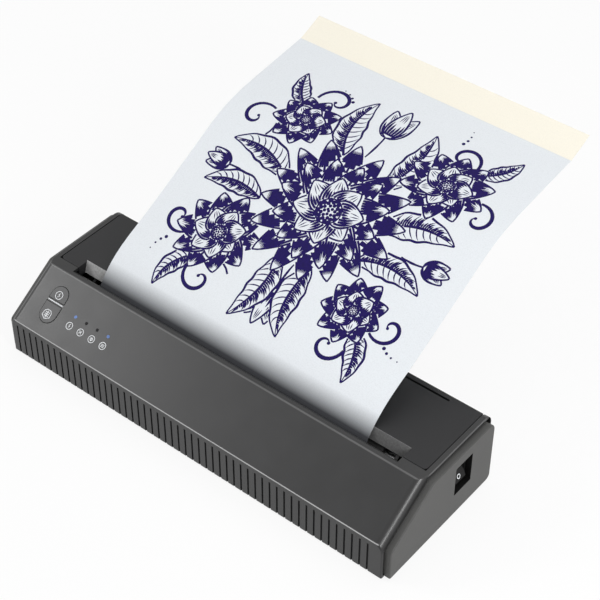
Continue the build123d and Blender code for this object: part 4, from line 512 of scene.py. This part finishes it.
class Sheet:
    """Maps a place on the flat sheet, across and along it, to the curved sheet in the machine."""

    def __init__(self, points):
        self.line = [(y * MM, z * MM) for y, z in spline_through(points)]
        self.along = [0.0]
        for a, b in zip(self.line, self.line[1:]):
            self.along.append(self.along[-1] + math.dist(a, b))
        self.length = self.along[-1]

    def at(self, across, along, lift=0.0):
        """The point at a distance along the sheet, lifted off its middle surface."""
        along = min(max(along, 0.0), self.length)
        low, high = 0, len(self.along) - 2
        while low < high:
            middle = (low + high + 1) // 2
            if self.along[middle] <= along:
                low = middle
            else:
                high = middle - 1
        share = (along - self.along[low]) / (self.along[low + 1] - self.along[low])
        a, b = self.line[low], self.line[low + 1]
        y = a[0] + (b[0] - a[0]) * share
        z = a[1] + (b[1] - a[1]) * share
        before = self.line[max(low - 1, 0)]
        after = self.line[min(low + 2, len(self.line) - 1)]
        tangent = Vector((0, after[0] - before[0], after[1] - before[1])).normalized()
        normal = Vector((0, -tangent.z, tangent.y))
        ripple = self.ripple(across, along)
        return Vector((SHEET_X + across, y, z)) + normal * (lift + ripple)

    def ripple(self, across, along):
        """The slight unevenness of a thin sheet, growing towards its free end."""
        free = min(1.0, max(0.0, (along - RIPPLE_START) / RIPPLE_GROWTH))
        wave = math.sin(across * WAVES_ACROSS + SHIFT_ACROSS) * math.sin(along * WAVES_ALONG + SHIFT_ALONG)
        edge = (2 * across / SHEET_WIDTH) ** 2 * math.sin(along * EDGE_WAVES_ALONG)
        return free * (RIPPLE_HEIGHT * wave + EDGE_RIPPLE_HEIGHT * edge) * MM


SHARP_ANGLE = math.radians(40)


def sheet_object(name, surface, thickness, columns, rows, material):
    """A closed thin sheet that follows its surface."""
    verts = []
    for side in (0.5, -0.5):
        for row in range(rows + 1):
            along = surface.length * row / rows
            for column in range(columns + 1):
                across = SHEET_WIDTH * (column / columns - 0.5)
                verts.append(surface.at(across, along, side * thickness))
    layer = (rows + 1) * (columns + 1)
    faces = []
    for row in range(rows):
        for column in range(columns):
            a = row * (columns + 1) + column
            b, c, d = a + 1, a + columns + 2, a + columns + 1
            faces.append((a, b, c, d))
            faces.append((layer + d, layer + c, layer + b, layer + a))
    ring = list(range(columns + 1))
    ring += [row * (columns + 1) + columns for row in range(1, rows + 1)]
    ring += [rows * (columns + 1) + column for column in range(columns - 1, -1, -1)]
    ring += [row * (columns + 1) for row in range(rows - 1, 0, -1)]
    for a, b in zip(ring, ring[1:] + ring[:1]):
        faces.append((b, a, layer + a, layer + b))
    piece = mesh_object(name, verts, faces)
    piece.data.materials.append(material)
    piece.data.set_sharp_from_angle(angle=SHARP_ANGLE)
    return piece


# Painted shadow on the sheet's foot: full below the low height, gone above the top height
FOOT_SHADE_LOW = 46.2 * MM
FOOT_SHADE_TOP = 57.2 * MM
FOOT_PAINTED_SHADOW = (0.06, 0.06, 0.065)


def sheet_paper():
    """The sheet's paper, with a painted shadow at its foot, where it comes out of the slot."""
    material = paper_material("stencil_paper", (0.74, 0.77, 0.80))
    tree = material.node_tree
    foot_painted_shadow = masked(tree, axes_of(tree)["Z"], FOOT_SHADE_TOP, FOOT_SHADE_LOW)
    multiplied(tree, principled(material), foot_painted_shadow, FOOT_PAINTED_SHADOW)
    return material


SHEET_COLUMNS = 60
SHEET_ROWS = 160
HEADER_ROWS = 16
SHEET_PAPER = sheet_paper()
HEADER_PAPER = paper_material("header_paper", (0.88, 0.84, 0.73), 0.03)
sheet_surface = Sheet(SHEET_LINE)
sheet = sheet_object(
    "printed_sheet", sheet_surface, SHEET_THICKNESS, SHEET_COLUMNS, SHEET_ROWS, SHEET_PAPER
)
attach(sheet, "sheet")
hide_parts("stencil_sheet")
header_surface = Sheet(HEADER_LINE)
header = sheet_object(
    "glued_header", header_surface, HEADER_THICKNESS, SHEET_COLUMNS, HEADER_ROWS, HEADER_PAPER
)
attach(header, "sheet")
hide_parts("sheet_header")

# ---------------------------------------------------------------- printed lines
INK_BELOW = 0.02 * MM
INK_ABOVE = 0.03 * MM
THINNEST = 0.14
# Strokes take turns at nine slightly different heights, so that few crossing ones share a face
STROKE_LAYERS = 9
LAYER_RISE = 0.0015 * MM


def ribbon(verts, faces, points, widths, place, rise=0.0):
    """Adds one closed flat ribbon, laid along the points by a function of across, along and lift."""
    first = len(verts)
    for index, (x, y) in enumerate(points):
        before = points[max(index - 1, 0)]
        after = points[min(index + 1, len(points) - 1)]
        length = math.dist(before, after) or 1.0
        side = (-(after[1] - before[1]) / length, (after[0] - before[0]) / length)
        half = max(widths[index], THINNEST) / 2
        for sign in (1, -1):
            for lift in (INK_ABOVE + rise, -INK_BELOW):
                verts.append(place(x + sign * half * side[0], y + sign * half * side[1], lift))
    for index in range(len(points) - 1):
        a = first + 4 * index
        b = a + 4
        faces += [(a, a + 2, b + 2, b), (a + 1, b + 1, b + 3, a + 3)]
        faces += [(a, b, b + 1, a + 1), (a + 2, a + 3, b + 3, b + 2)]
    end = first + 4 * (len(points) - 1)
    faces += [(first, first + 1, first + 3, first + 2), (end, end + 2, end + 3, end + 1)]


def disc(verts, faces, centre, radius, place, corners=12):
    """Adds one closed flat disc."""
    first = len(verts)
    for lift in (INK_ABOVE, -INK_BELOW):
        for index in range(corners):
            angle = 2 * math.pi * index / corners
            x = centre[0] + radius * math.cos(angle)
            y = centre[1] + radius * math.sin(angle)
            verts.append(place(x, y, lift))
    top = [first + index for index in range(corners)]
    bottom = [index + corners for index in top]
    faces.append(tuple(top))
    faces.append(tuple(reversed(bottom)))
    for index in range(corners):
        follower = (index + 1) % corners
        faces.append((top[follower], top[index], bottom[index], bottom[follower]))


class Drawing:
    """Ink on a flat sheet in millimetres, drawn from the front to the back.

    A shape that is covered hides every line drawn after it.
    """

    def __init__(self, weight=1.0):
        self.weight = weight
        self.strokes = []
        self.dots = []
        self.covers = []

    def hidden(self, point):
        x, y = point
        for low_x, low_y, high_x, high_y, outline in self.covers:
            if not (low_x < x < high_x and low_y < y < high_y):
                continue
            inside = False
            for (ax, ay), (bx, by) in zip(outline, outline[1:] + outline[:1]):
                if (ay > y) != (by > y) and x < ax + (bx - ax) * (y - ay) / (by - ay):
                    inside = not inside
            if inside:
                return True
        return False

    def line(self, points, width, thin_start=0.4, thin_end=0.4):
        """A stroke that swells to its full width between two thinner ends."""
        last = len(points) - 1
        run = []
        for index, point in enumerate(points):
            share = index / last
            swell = math.sin(math.pi * share)
            ends = thin_start * (1 - share) + thin_end * share
            run.append((point, self.weight * width * max(swell, ends)))
            covered = self.hidden(point)
            if covered or index == last:
                if covered:
                    run.pop()
                if len(run) > 1:
                    self.strokes.append(([p for p, _ in run], [w for _, w in run]))
                run = []

    def dot(self, centre, radius):
        if not self.hidden(centre):
            self.dots.append((centre, radius))

    def cover(self, outline):
        xs = [p[0] for p in outline]
        ys = [p[1] for p in outline]
        self.covers.append((min(xs), min(ys), max(xs), max(ys), outline))

    def build(self, name, place, material, rides, slot):
        """Turns the drawing into one mesh of closed ribbons and discs on its surface."""
        verts, faces = [], []
        for index, (points, widths) in enumerate(self.strokes):
            ribbon(verts, faces, points, widths, place, (index % STROKE_LAYERS) * LAYER_RISE)
        for centre, radius in self.dots:
            disc(verts, faces, centre, radius, place)
        piece = mesh_object(name, verts, faces, False)
        piece.data.materials.append(material)
        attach(piece, rides)


def turned(origin, angle, along, across):
    """A place given along and across a direction from the origin."""
    c, s = math.cos(angle), math.sin(angle)
    return (origin[0] + along * c - across * s, origin[1] + along * s + across * c)


# Petals: shares are of a petal's length from its root, and widths of lines are in millimetres
PETAL_STEPS = 18
PETAL_SKEW = 0.72
PETAL_FULLNESS = 0.75
PETAL_RIM_WIDTH = 1.15
SHADE_STEPS = 5
SHADE_WIDTH = 1.35
SHADE_START = 0.8
SHADE_SPREAD = 0.88
SHADE_LIMIT = 0.9
VEIN_STEPS = 6
VEIN_PLACES = (-0.3, 0.0, 0.3)
VEIN_START = 0.62
VEIN_LENGTH = 0.26
VEIN_WIDTH = 0.5


def petal(drawing, root, angle, length, width, shaded_from, lines=9):
    """One pointed petal: its outline, fine veins, and dark lines where it comes out from others."""

    def half_width(share):
        return 0.5 * width * math.sin(math.pi * share**PETAL_SKEW) ** PETAL_FULLNESS

    outline = []
    for side in (1, -1):
        edge = []
        for step in range(PETAL_STEPS + 1):
            share = step / PETAL_STEPS
            edge.append(turned(root, angle, length * share, side * half_width(share)))
        drawing.line(edge, PETAL_RIM_WIDTH, 0.7, 0.75)
        outline += edge if side == 1 else edge[::-1]
    start = shaded_from * SHADE_START
    for index in range(lines):
        place = -1 + 2 * (index + 0.5) / lines
        reach = shaded_from + (0.22 + 0.24 * abs(place)) * (1 + 0.25 * math.sin(7.0 * index))
        stroke = []
        for step in range(SHADE_STEPS + 1):
            share = start + (min(reach, SHADE_LIMIT) - start) * step / SHADE_STEPS
            stroke.append(turned(root, angle, length * share, SHADE_SPREAD * place * half_width(share)))
        drawing.line(stroke, SHADE_WIDTH, 1.0, 0.12)
    for place in VEIN_PLACES:
        vein = []
        for step in range(VEIN_STEPS + 1):
            share = VEIN_START + VEIN_LENGTH * step / VEIN_STEPS - 0.08 * abs(place)
            vein.append(turned(root, angle, length * share, place * half_width(share)))
        drawing.line(vein, VEIN_WIDTH, 0.3, 0.2)
    drawing.cover(outline)


SEEDS = 34
# Shares of a bloom's radius
SEED_RADIUS = 0.034
HEART_RADIUS = 0.17

HEART_STEPS = 40
GOLDEN_ANGLE = math.radians(137.508)


def bloom(drawing, centre, radius, rings, turn=0.0):
    """A many-petalled flower: a seed head, then rings of petals from the middle outwards."""
    heart = radius * HEART_RADIUS
    for index in range(SEEDS):
        reach = heart * math.sqrt(index / SEEDS)
        seed = SEED_RADIUS * radius * (0.6 + 0.5 * index / SEEDS)
        drawing.dot(turned(centre, index * GOLDEN_ANGLE, reach, 0.0), seed)
    rim = [turned(centre, 2 * math.pi * step / HEART_STEPS, heart, 0.0) for step in range(HEART_STEPS + 1)]
    drawing.line(rim, 0.8, 1.0, 1.0)
    drawing.cover(rim)
    reach = heart
    for ring, count in enumerate(rings):
        outer = heart + (radius - heart) * ((ring + 1) / len(rings)) ** 0.9
        width = 2 * math.pi * outer / count * 0.98
        for index in range(count):
            angle = turn + 2 * math.pi * (index + 0.5 * (ring % 2)) / count
            length = outer * (1 + 0.05 * math.sin(5 * index + ring))
            petal(drawing, centre, angle, length, width, 0.92 * reach / length)
        reach = outer


MIDRIB_STEPS = 20
MIDRIB_WIDTH = 1.3
LEAF_STEPS = 24
LEAF_RIM_WIDTH = 1.25
SIDE_VEIN_STEPS = 5
SIDE_VEIN_WIDTH = 0.7
HATCH_STEPS = 4
HATCH_SPACING = 1.5
HATCH_WIDTH = 1.05


def leaf(drawing, root, tip, bend, width, veins=8):
    """A curved leaf: a midrib, side veins, and one half darkened by close lines."""
    chord = math.dist(root, tip)
    angle = math.atan2(tip[1] - root[1], tip[0] - root[0])

    def middle(share):
        return turned(root, angle, chord * share, 4 * bend * share * (1 - share))

    def edge(share, side):
        ahead, behind = middle(min(share + 0.02, 1.0)), middle(max(share - 0.02, 0.0))
        way = math.atan2(ahead[1] - behind[1], ahead[0] - behind[0])
        half = 0.5 * width * math.sin(math.pi * share**0.8) ** 0.85
        half *= 1 + 0.05 * math.sin(26 * share)
        return turned(middle(share), way, 0.0, side * half)

    def between(share, side, fraction):
        a, b = middle(share), edge(min(share + 0.1 * fraction, 1.0), side)
        return (a[0] + (b[0] - a[0]) * fraction, a[1] + (b[1] - a[1]) * fraction)

    drawing.line([middle(step / MIDRIB_STEPS) for step in range(MIDRIB_STEPS + 1)], MIDRIB_WIDTH, 1.0, 0.3)
    outline = []
    for side in (1, -1):
        rim = [edge(step / LEAF_STEPS, side) for step in range(LEAF_STEPS + 1)]
        drawing.line(rim, LEAF_RIM_WIDTH, 0.7, 0.6)
        outline += rim if side == 1 else rim[::-1]
    for index in range(veins):
        share = 0.1 + 0.74 * index / veins
        for side in (1, -1):
            vein = [between(share, side, 0.9 * s / SIDE_VEIN_STEPS) for s in range(SIDE_VEIN_STEPS + 1)]
            drawing.line(vein, SIDE_VEIN_WIDTH, 1.0, 0.2)
    hatches = int(chord / HATCH_SPACING)
    for index in range(hatches):
        share = 0.06 + 0.84 * index / hatches
        fraction = 0.62 + 0.2 * math.sin(5.0 * index)
        hatch = [between(share, 1, fraction * step / HATCH_STEPS) for step in range(HATCH_STEPS + 1)]
        drawing.line(hatch, HATCH_WIDTH, 1.0, 0.15)
    drawing.cover(outline)


def tendril(drawing, root, angle, size, turns, side):
    """A curling stem that winds inwards, with a dot at its end."""
    eye = turned(root, angle, size, side * size * 0.35)
    start = math.atan2(root[1] - eye[1], root[0] - eye[0])
    far = math.dist(root, eye)
    curl = []
    steps = int(22 * turns) + 8
    for step in range(steps + 1):
        share = step / steps
        reach = far * (1 - share) ** 1.25 + 0.07 * size * share
        curl.append(turned(eye, start - side * 2 * math.pi * turns * share, reach, 0.0))
    drawing.line(curl, 2.0, 0.5, 0.35)
    drawing.dot(curl[-1], 0.065 * size)


def bud(drawing, root, angle, length, width):
    """A closed flower bud on a short stalk: three wrapped petals."""
    for turn, share in ((0.0, 1.0), (0.34, 0.92), (-0.34, 0.92)):
        petal(drawing, root, angle + turn, length * share, width, 0.12, 5)
    stalk = [turned(root, angle, -length * 0.12 * step, 0.6 * step * (step - 6) * 0.1) for step in range(8)]
    drawing.line(stalk, 1.2, 0.8, 0.5)


# The spray: places in millimetres across from the flat sheet's middle and up from its foot.
# Blooms by centre, radius, petals in each ring and turn
BLOOMS = (
    ((2.0, 124.0), 46.0, (8, 12, 16), 0.2),
    ((-49.0, 83.0), 27.0, (7, 10), 0.5),
    ((52.0, 170.0), 26.0, (7, 10), 0.1),
    ((50.0, 80.0), 20.0, (6, 9), 0.9),
    ((-48.0, 169.0), 20.0, (6, 9), 0.3),
)
# Leaves by root, tip, bend and width
LEAVES = (
    ((22.0, 150.0), (24.0, 200.0), -5.0, 17.0),
    ((-12.0, 158.0), (-20.0, 204.0), 6.0, 17.0),
    ((34.0, 128.0), (79.0, 138.0), 6.0, 17.0),
    ((34.0, 106.0), (77.0, 104.0), 6.0, 15.0),
    ((-34.0, 130.0), (-78.0, 138.0), -6.0, 17.0),
    ((-40.0, 112.0), (-79.0, 108.0), -5.0, 14.0),
    ((-8.0, 88.0), (-14.0, 44.0), 5.0, 16.0),
    ((14.0, 90.0), (20.0, 46.0), -5.0, 16.0),
    ((-52.0, 66.0), (-66.0, 38.0), -4.0, 12.0),
    ((56.0, 72.0), (68.0, 42.0), 4.0, 12.0),
    ((62.0, 186.0), (78.0, 208.0), -3.0, 11.0),
    ((-56.0, 178.0), (-72.0, 202.0), 3.0, 11.0),
)
# Buds by root, angle, length and width
BUDS = (
    ((0.0, 182.0), 1.55, 26.0, 11.0),
    ((3.0, 70.0), -1.6, 24.0, 10.0),
    ((70.0, 120.0), 0.05, 17.0, 8.0),
    ((-70.0, 122.0), 3.1, 17.0, 8.0),
)
# Tendrils by root, angle, size, turns and the side they wind to
TENDRILS = (
    ((-30.0, 176.0), 1.9, 17.0, 1.3, 1),
    ((34.0, 182.0), 1.0, 16.0, 1.3, -1),
    ((66.0, 150.0), 0.2, 15.0, 1.2, 1),
    ((-62.0, 148.0), 2.9, 15.0, 1.2, -1),
    ((-66.0, 92.0), 3.6, 14.0, 1.2, 1),
    ((64.0, 92.0), -0.5, 14.0, 1.2, -1),
    ((-28.0, 64.0), -2.2, 16.0, 1.3, -1),
    ((34.0, 66.0), -0.9, 16.0, 1.3, 1),
)
# Trails of shrinking dots by place and angle
TRAILS = (
    ((-34.0, 196.0), 2.2),
    ((40.0, 203.0), 1.2),
    ((-76.0, 66.0), 3.9),
    ((78.0, 70.0), -0.7),
)
TRAIL_DOTS = 4
TRAIL_SPACING = 3.4
TRAIL_RADIUS = 1.1
TRAIL_SHRINK = 0.22
FLOWER_WEIGHT = 1.2
PRINT_SCALE = 1.08
PRINT_DROP = 17.0


def draw_flowers():
    """A spray of blooms, leaves, buds, tendrils and dots on the flat sheet."""
    drawing = Drawing(FLOWER_WEIGHT)
    for drawn, places in ((bloom, BLOOMS), (leaf, LEAVES), (bud, BUDS), (tendril, TENDRILS)):
        for values in places:
            drawn(drawing, *values)
    for place, angle in TRAILS:
        for step in range(TRAIL_DOTS):
            centre = turned(place, angle, TRAIL_SPACING * step, 0.5 * step * step)
            drawing.dot(centre, TRAIL_RADIUS - TRAIL_SHRINK * step)
    return drawing


def on_sheet(across, along, lift):
    """The surface of the sheet, from millimetres on the flat drawing."""
    along = PRINT_SCALE * along - PRINT_DROP
    return sheet_surface.at(PRINT_SCALE * across * MM, along * MM, SHEET_THICKNESS / 2 + lift)


INK = ink_material("printed_ink", (0.009, 0.003, 0.080))
draw_flowers().build("printed_flowers", on_sheet, INK, "sheet", "ink")

# ---------------------------------------------------------------- marks on the panel and the switch
MARK_WIDTH = 0.42


def on_panel(proud):
    """Places marks on the slope, in millimetres from the shell's left end and up the slope."""

    def place(across, along, lift):
        rise = proud * MM + lift
        return Vector(
            (
                across * MM - HALF_LENGTH,
                FRONT_Y + along * MM * math.cos(SLOPE_ANGLE) - rise * math.sin(SLOPE_ANGLE),
                FRONT_HEIGHT + along * MM * math.sin(SLOPE_ANGLE) + rise * math.cos(SLOPE_ANGLE),
            )
        )

    return place


def mark(drawing, points, width=MARK_WIDTH):
    drawing.line(points, width, 1.0, 1.0)


CIRCLE_STEPS = 28


def circle_points(centre, radius):
    angles = [math.radians(360.0 * step / CIRCLE_STEPS) for step in range(CIRCLE_STEPS + 1)]
    return [turned(centre, angle, radius, 0.0) for angle in angles]


def bolt(drawing, centre, size):
    x, y = centre
    upper = ((0.25, 1.0), (-0.4, 0.05), (0.1, 0.02))
    lower = ((-0.1, 0.02), (0.4, 0.0), (-0.25, -1.0))
    for half in (upper, lower):
        mark(drawing, [(x + across * size, y + up * size) for across, up in half])


def ring_icon(drawing, centre, radius):
    mark(drawing, circle_points(centre, radius))


POWER_ICON = (22.4, 27.6)
POWER_RING_RADIUS = 2.6
POWER_BOLT_SIZE = 1.5
FEED_ICON = (22.2, 13.7)
FEED_OUTLINE = ((2.8, 1.6), (3.1, -1.4), (0.0, -3.2), (-3.1, -1.4), (-2.8, 1.6), (-1.2, 3.0), (1.2, 3.0))
FEED_LINE_WIDTH = 0.5
FEED_ROWS_UP = (1.3, 0.1, -1.1)
FEED_ROW_HALF = 1.7
FEED_POST_HALF = 2.4
LAMP_ICONS_UP = 14.75
LAMP_ICONS_ACROSS = (40.9, 50.3, 59.8, 69.2)
LAMP_RING_RADIUS = 2.3
LAMP_BOLT_SIZE = 1.3
CROSS_HALF = 1.0
DROP_RADIUS = 0.9
DROP_LENGTH = 1.4
PAGE_ROWS_UP = (-0.8, 0.0, 0.8)
PAGE_ROW_HALF = 1.2
BUTTON_PROUD = 0.35


def power_marks():
    drawing = Drawing()
    ring_icon(drawing, POWER_ICON, POWER_RING_RADIUS)
    bolt(drawing, POWER_ICON, POWER_BOLT_SIZE)
    return drawing


def feed_marks():
    drawing = Drawing()
    x, y = FEED_ICON
    outline = [(x + across, y + up) for across, up in FEED_OUTLINE + FEED_OUTLINE[:1]]
    mark(drawing, outline, FEED_LINE_WIDTH)
    for up in FEED_ROWS_UP:
        mark(drawing, [(x - FEED_ROW_HALF, y + up), (x + FEED_ROW_HALF, y + up)], FEED_LINE_WIDTH)
    mark(drawing, [(x, y + FEED_POST_HALF), (x, y - FEED_POST_HALF)], FEED_LINE_WIDTH)
    return drawing


def cross(drawing, centre):
    x, y = centre
    for way in (1, -1):
        start = (x - CROSS_HALF, y - way * CROSS_HALF)
        mark(drawing, [start, (x + CROSS_HALF, y + way * CROSS_HALF)])


def drop(drawing, centre):
    x, y = centre
    mark(drawing, circle_points(centre, DROP_RADIUS))
    mark(drawing, [(x, y + DROP_RADIUS), (x, y - DROP_LENGTH)])


def page(drawing, centre):
    x, y = centre
    for up in PAGE_ROWS_UP:
        mark(drawing, [(x - PAGE_ROW_HALF, y + up), (x + PAGE_ROW_HALF, y + up)])


def lamp_bolt(drawing, centre):
    bolt(drawing, centre, LAMP_BOLT_SIZE)


def lamp_marks():
    """Four rings in a row, each with its own sign inside."""
    drawing = Drawing()
    for across, sign in zip(LAMP_ICONS_ACROSS, (lamp_bolt, cross, drop, page)):
        centre = (across, LAMP_ICONS_UP)
        ring_icon(drawing, centre, LAMP_RING_RADIUS)
        sign(drawing, centre)
    return drawing


power_marks().build("power_icon", on_panel(BUTTON_PROUD), PRINT_WHITE, "power_key", "print_white")
feed_marks().build("feed_icon", on_panel(BUTTON_PROUD), PRINT_WHITE, "feed_key", "print_white")
lamp_marks().build("lamp_icons", on_panel(0.0), PRINT_WHITE, "casing", "print_white")

ROCKER_FACE_OUT = 3.6
ROCKER_EDGE_OUT = 5.2
ROCKER_HALF_HEIGHT = 7.346
ROCKER_REST_TILT = math.radians(8.0)
ROCKER_MARK_UP = 4.4
ROCKER_MARK_WIDTH = 0.6
ROCKER_MARK_HALF = 1.3


def on_rocker(across, up, lift):
    """Places marks on the rocker's two faces, in millimetres towards the rear and up from its pin."""
    slant = (ROCKER_EDGE_OUT - ROCKER_FACE_OUT) / ROCKER_HALF_HEIGHT
    out = (ROCKER_FACE_OUT + slant * abs(up)) * MM + lift
    height = up * MM
    c, s = math.cos(ROCKER_REST_TILT), math.sin(ROCKER_REST_TILT)
    return Vector(
        (
            SWITCH_PLACE[0] + out * c - height * s,
            SWITCH_PLACE[1] + across * MM,
            SWITCH_PLACE[2] + out * s + height * c,
        )
    )


def switch_marks():
    """A bar on the rocker's upper face and a ring on its lower one."""
    drawing = Drawing()
    bar = [(-ROCKER_MARK_HALF, ROCKER_MARK_UP), (ROCKER_MARK_HALF, ROCKER_MARK_UP)]
    mark(drawing, bar, ROCKER_MARK_WIDTH)
    mark(drawing, circle_points((0.0, -ROCKER_MARK_UP), ROCKER_MARK_HALF), ROCKER_MARK_WIDTH)
    return drawing


switch_marks().build("rocker_marks", on_rocker, PRINT_WHITE, "switch_rocker", "print_white")

# ---------------------------------------------------------------- camera
CAMERA_PLACE = (0.47085, -0.5248, 0.7347)
CAMERA_LOOK = (-0.463784, 0.574641, -0.674308)
CAMERA_ROLL = math.radians(0.21)
CAMERA_LENS = 98.85
CAMERA_SENSOR = 36.0
camera_data = bpy.data.cameras.new("camera")
camera_data.lens = CAMERA_LENS
camera_data.sensor_width = CAMERA_SENSOR
camera = collection_link(bpy.data.objects.new("camera", camera_data))
camera.rotation_mode = "QUATERNION"
turn = Vector(CAMERA_LOOK).to_track_quat("-Z", "Y")
camera.rotation_quaternion = turn @ Matrix.Rotation(CAMERA_ROLL, 3, "Z").to_quaternion()
camera.location = CAMERA_PLACE
scene.camera = camera

# ---------------------------------------------------------------- floor, world and lamps
FLOOR_Z = -1.5 * MM
FLOOR_HALF = 12.0
FLOOR_GLOW_SHARE = 0.87
corners = [(-FLOOR_HALF, -FLOOR_HALF), (FLOOR_HALF, -FLOOR_HALF)]
corners += [(FLOOR_HALF, FLOOR_HALF), (-FLOOR_HALF, FLOOR_HALF)]
floor = mesh_object("floor", [(x, y, FLOOR_Z) for x, y in corners], [(0, 1, 2, 3)], False)


def seen_rays(tree, path):
    """1 for the rays that show a background: the camera's, mirrored ones and those through glass."""
    seen = path.outputs["Is Camera Ray"]
    for ray in ("Is Glossy Ray", "Is Transmission Ray"):
        total = math_node(tree, "ADD", seen, path.outputs[ray])
        total.use_clamp = True
        seen = total.outputs["Value"]
    return seen


def floor_material():
    """Pale floor: mostly a plain white for the camera, so that only a soft shadow stays."""
    material, tree, shader = new_material("pale_floor")
    shader.inputs["Base Color"].default_value = (0.86, 0.86, 0.86, 1.0)
    shader.inputs["Roughness"].default_value = 0.9
    shader.inputs["Specular IOR Level"].default_value = 0.1
    glow = tree.nodes.new("ShaderNodeEmission")
    glow.inputs["Color"].default_value = (1.0, 1.0, 1.0, 1.0)
    glow.inputs["Strength"].default_value = 1.0
    path = tree.nodes.new("ShaderNodeLightPath")
    share = math_node(tree, "MULTIPLY", seen_rays(tree, path))
    share.inputs[1].default_value = FLOOR_GLOW_SHARE
    mix = tree.nodes.new("ShaderNodeMixShader")
    tree.links.new(share.outputs["Value"], mix.inputs["Fac"])
    tree.links.new(shader.outputs["BSDF"], mix.inputs[1])
    tree.links.new(glow.outputs["Emission"], mix.inputs[2])
    output = next(n for n in tree.nodes if n.type == "OUTPUT_MATERIAL")
    tree.links.new(mix.outputs["Shader"], output.inputs["Surface"])
    return material


floor.data.materials.append(floor_material())

WORLD_LIGHT = 0.5
world = bpy.data.worlds.new("studio")
scene.world = world
world.use_nodes = True
world_tree = world.node_tree
backdrop = world_tree.nodes["Background"]
backdrop.inputs["Color"].default_value = (1.0, 1.0, 1.0, 1.0)
light_path = world_tree.nodes.new("ShaderNodeLightPath")
brightness = world_tree.nodes.new("ShaderNodeMapRange")
brightness.inputs["To Min"].default_value = WORLD_LIGHT
brightness.inputs["To Max"].default_value = 1.0
world_tree.links.new(seen_rays(world_tree, light_path), brightness.inputs["Value"])
world_tree.links.new(brightness.outputs["Result"], backdrop.inputs["Strength"])


def area_lamp(name, place, aim, size, power):
    """A soft rectangular lamp that points at a place on the object."""
    data = bpy.data.lights.new(name, "AREA")
    data.shape = "RECTANGLE"
    data.size, data.size_y = size
    data.energy = power
    lamp = collection_link(bpy.data.objects.new(name, data))
    lamp.location = place
    way = Vector(aim) - Vector(place)
    lamp.rotation_mode = "QUATERNION"
    lamp.rotation_quaternion = way.to_track_quat("-Z", "Y")


area_lamp("right_softbox", place=(1.3, -0.2, 0.7), aim=(0.0, 0.0, 0.03), size=(0.9, 0.9), power=3.6)
area_lamp("left_softbox", place=(-1.35, -0.8, 1.15), aim=(-0.05, 0.0, 0.03), size=(0.6, 0.6), power=10.0)
area_lamp("edge_strip", place=(0.94, -0.30, 0.68), aim=(0.14, -0.02, 0.03), size=(0.07, 0.5), power=4.6)
area_lamp("top_softbox", place=(0.1, 0.5, 1.5), aim=(0.0, 0.05, 0.05), size=(1.0, 1.0), power=4.5)
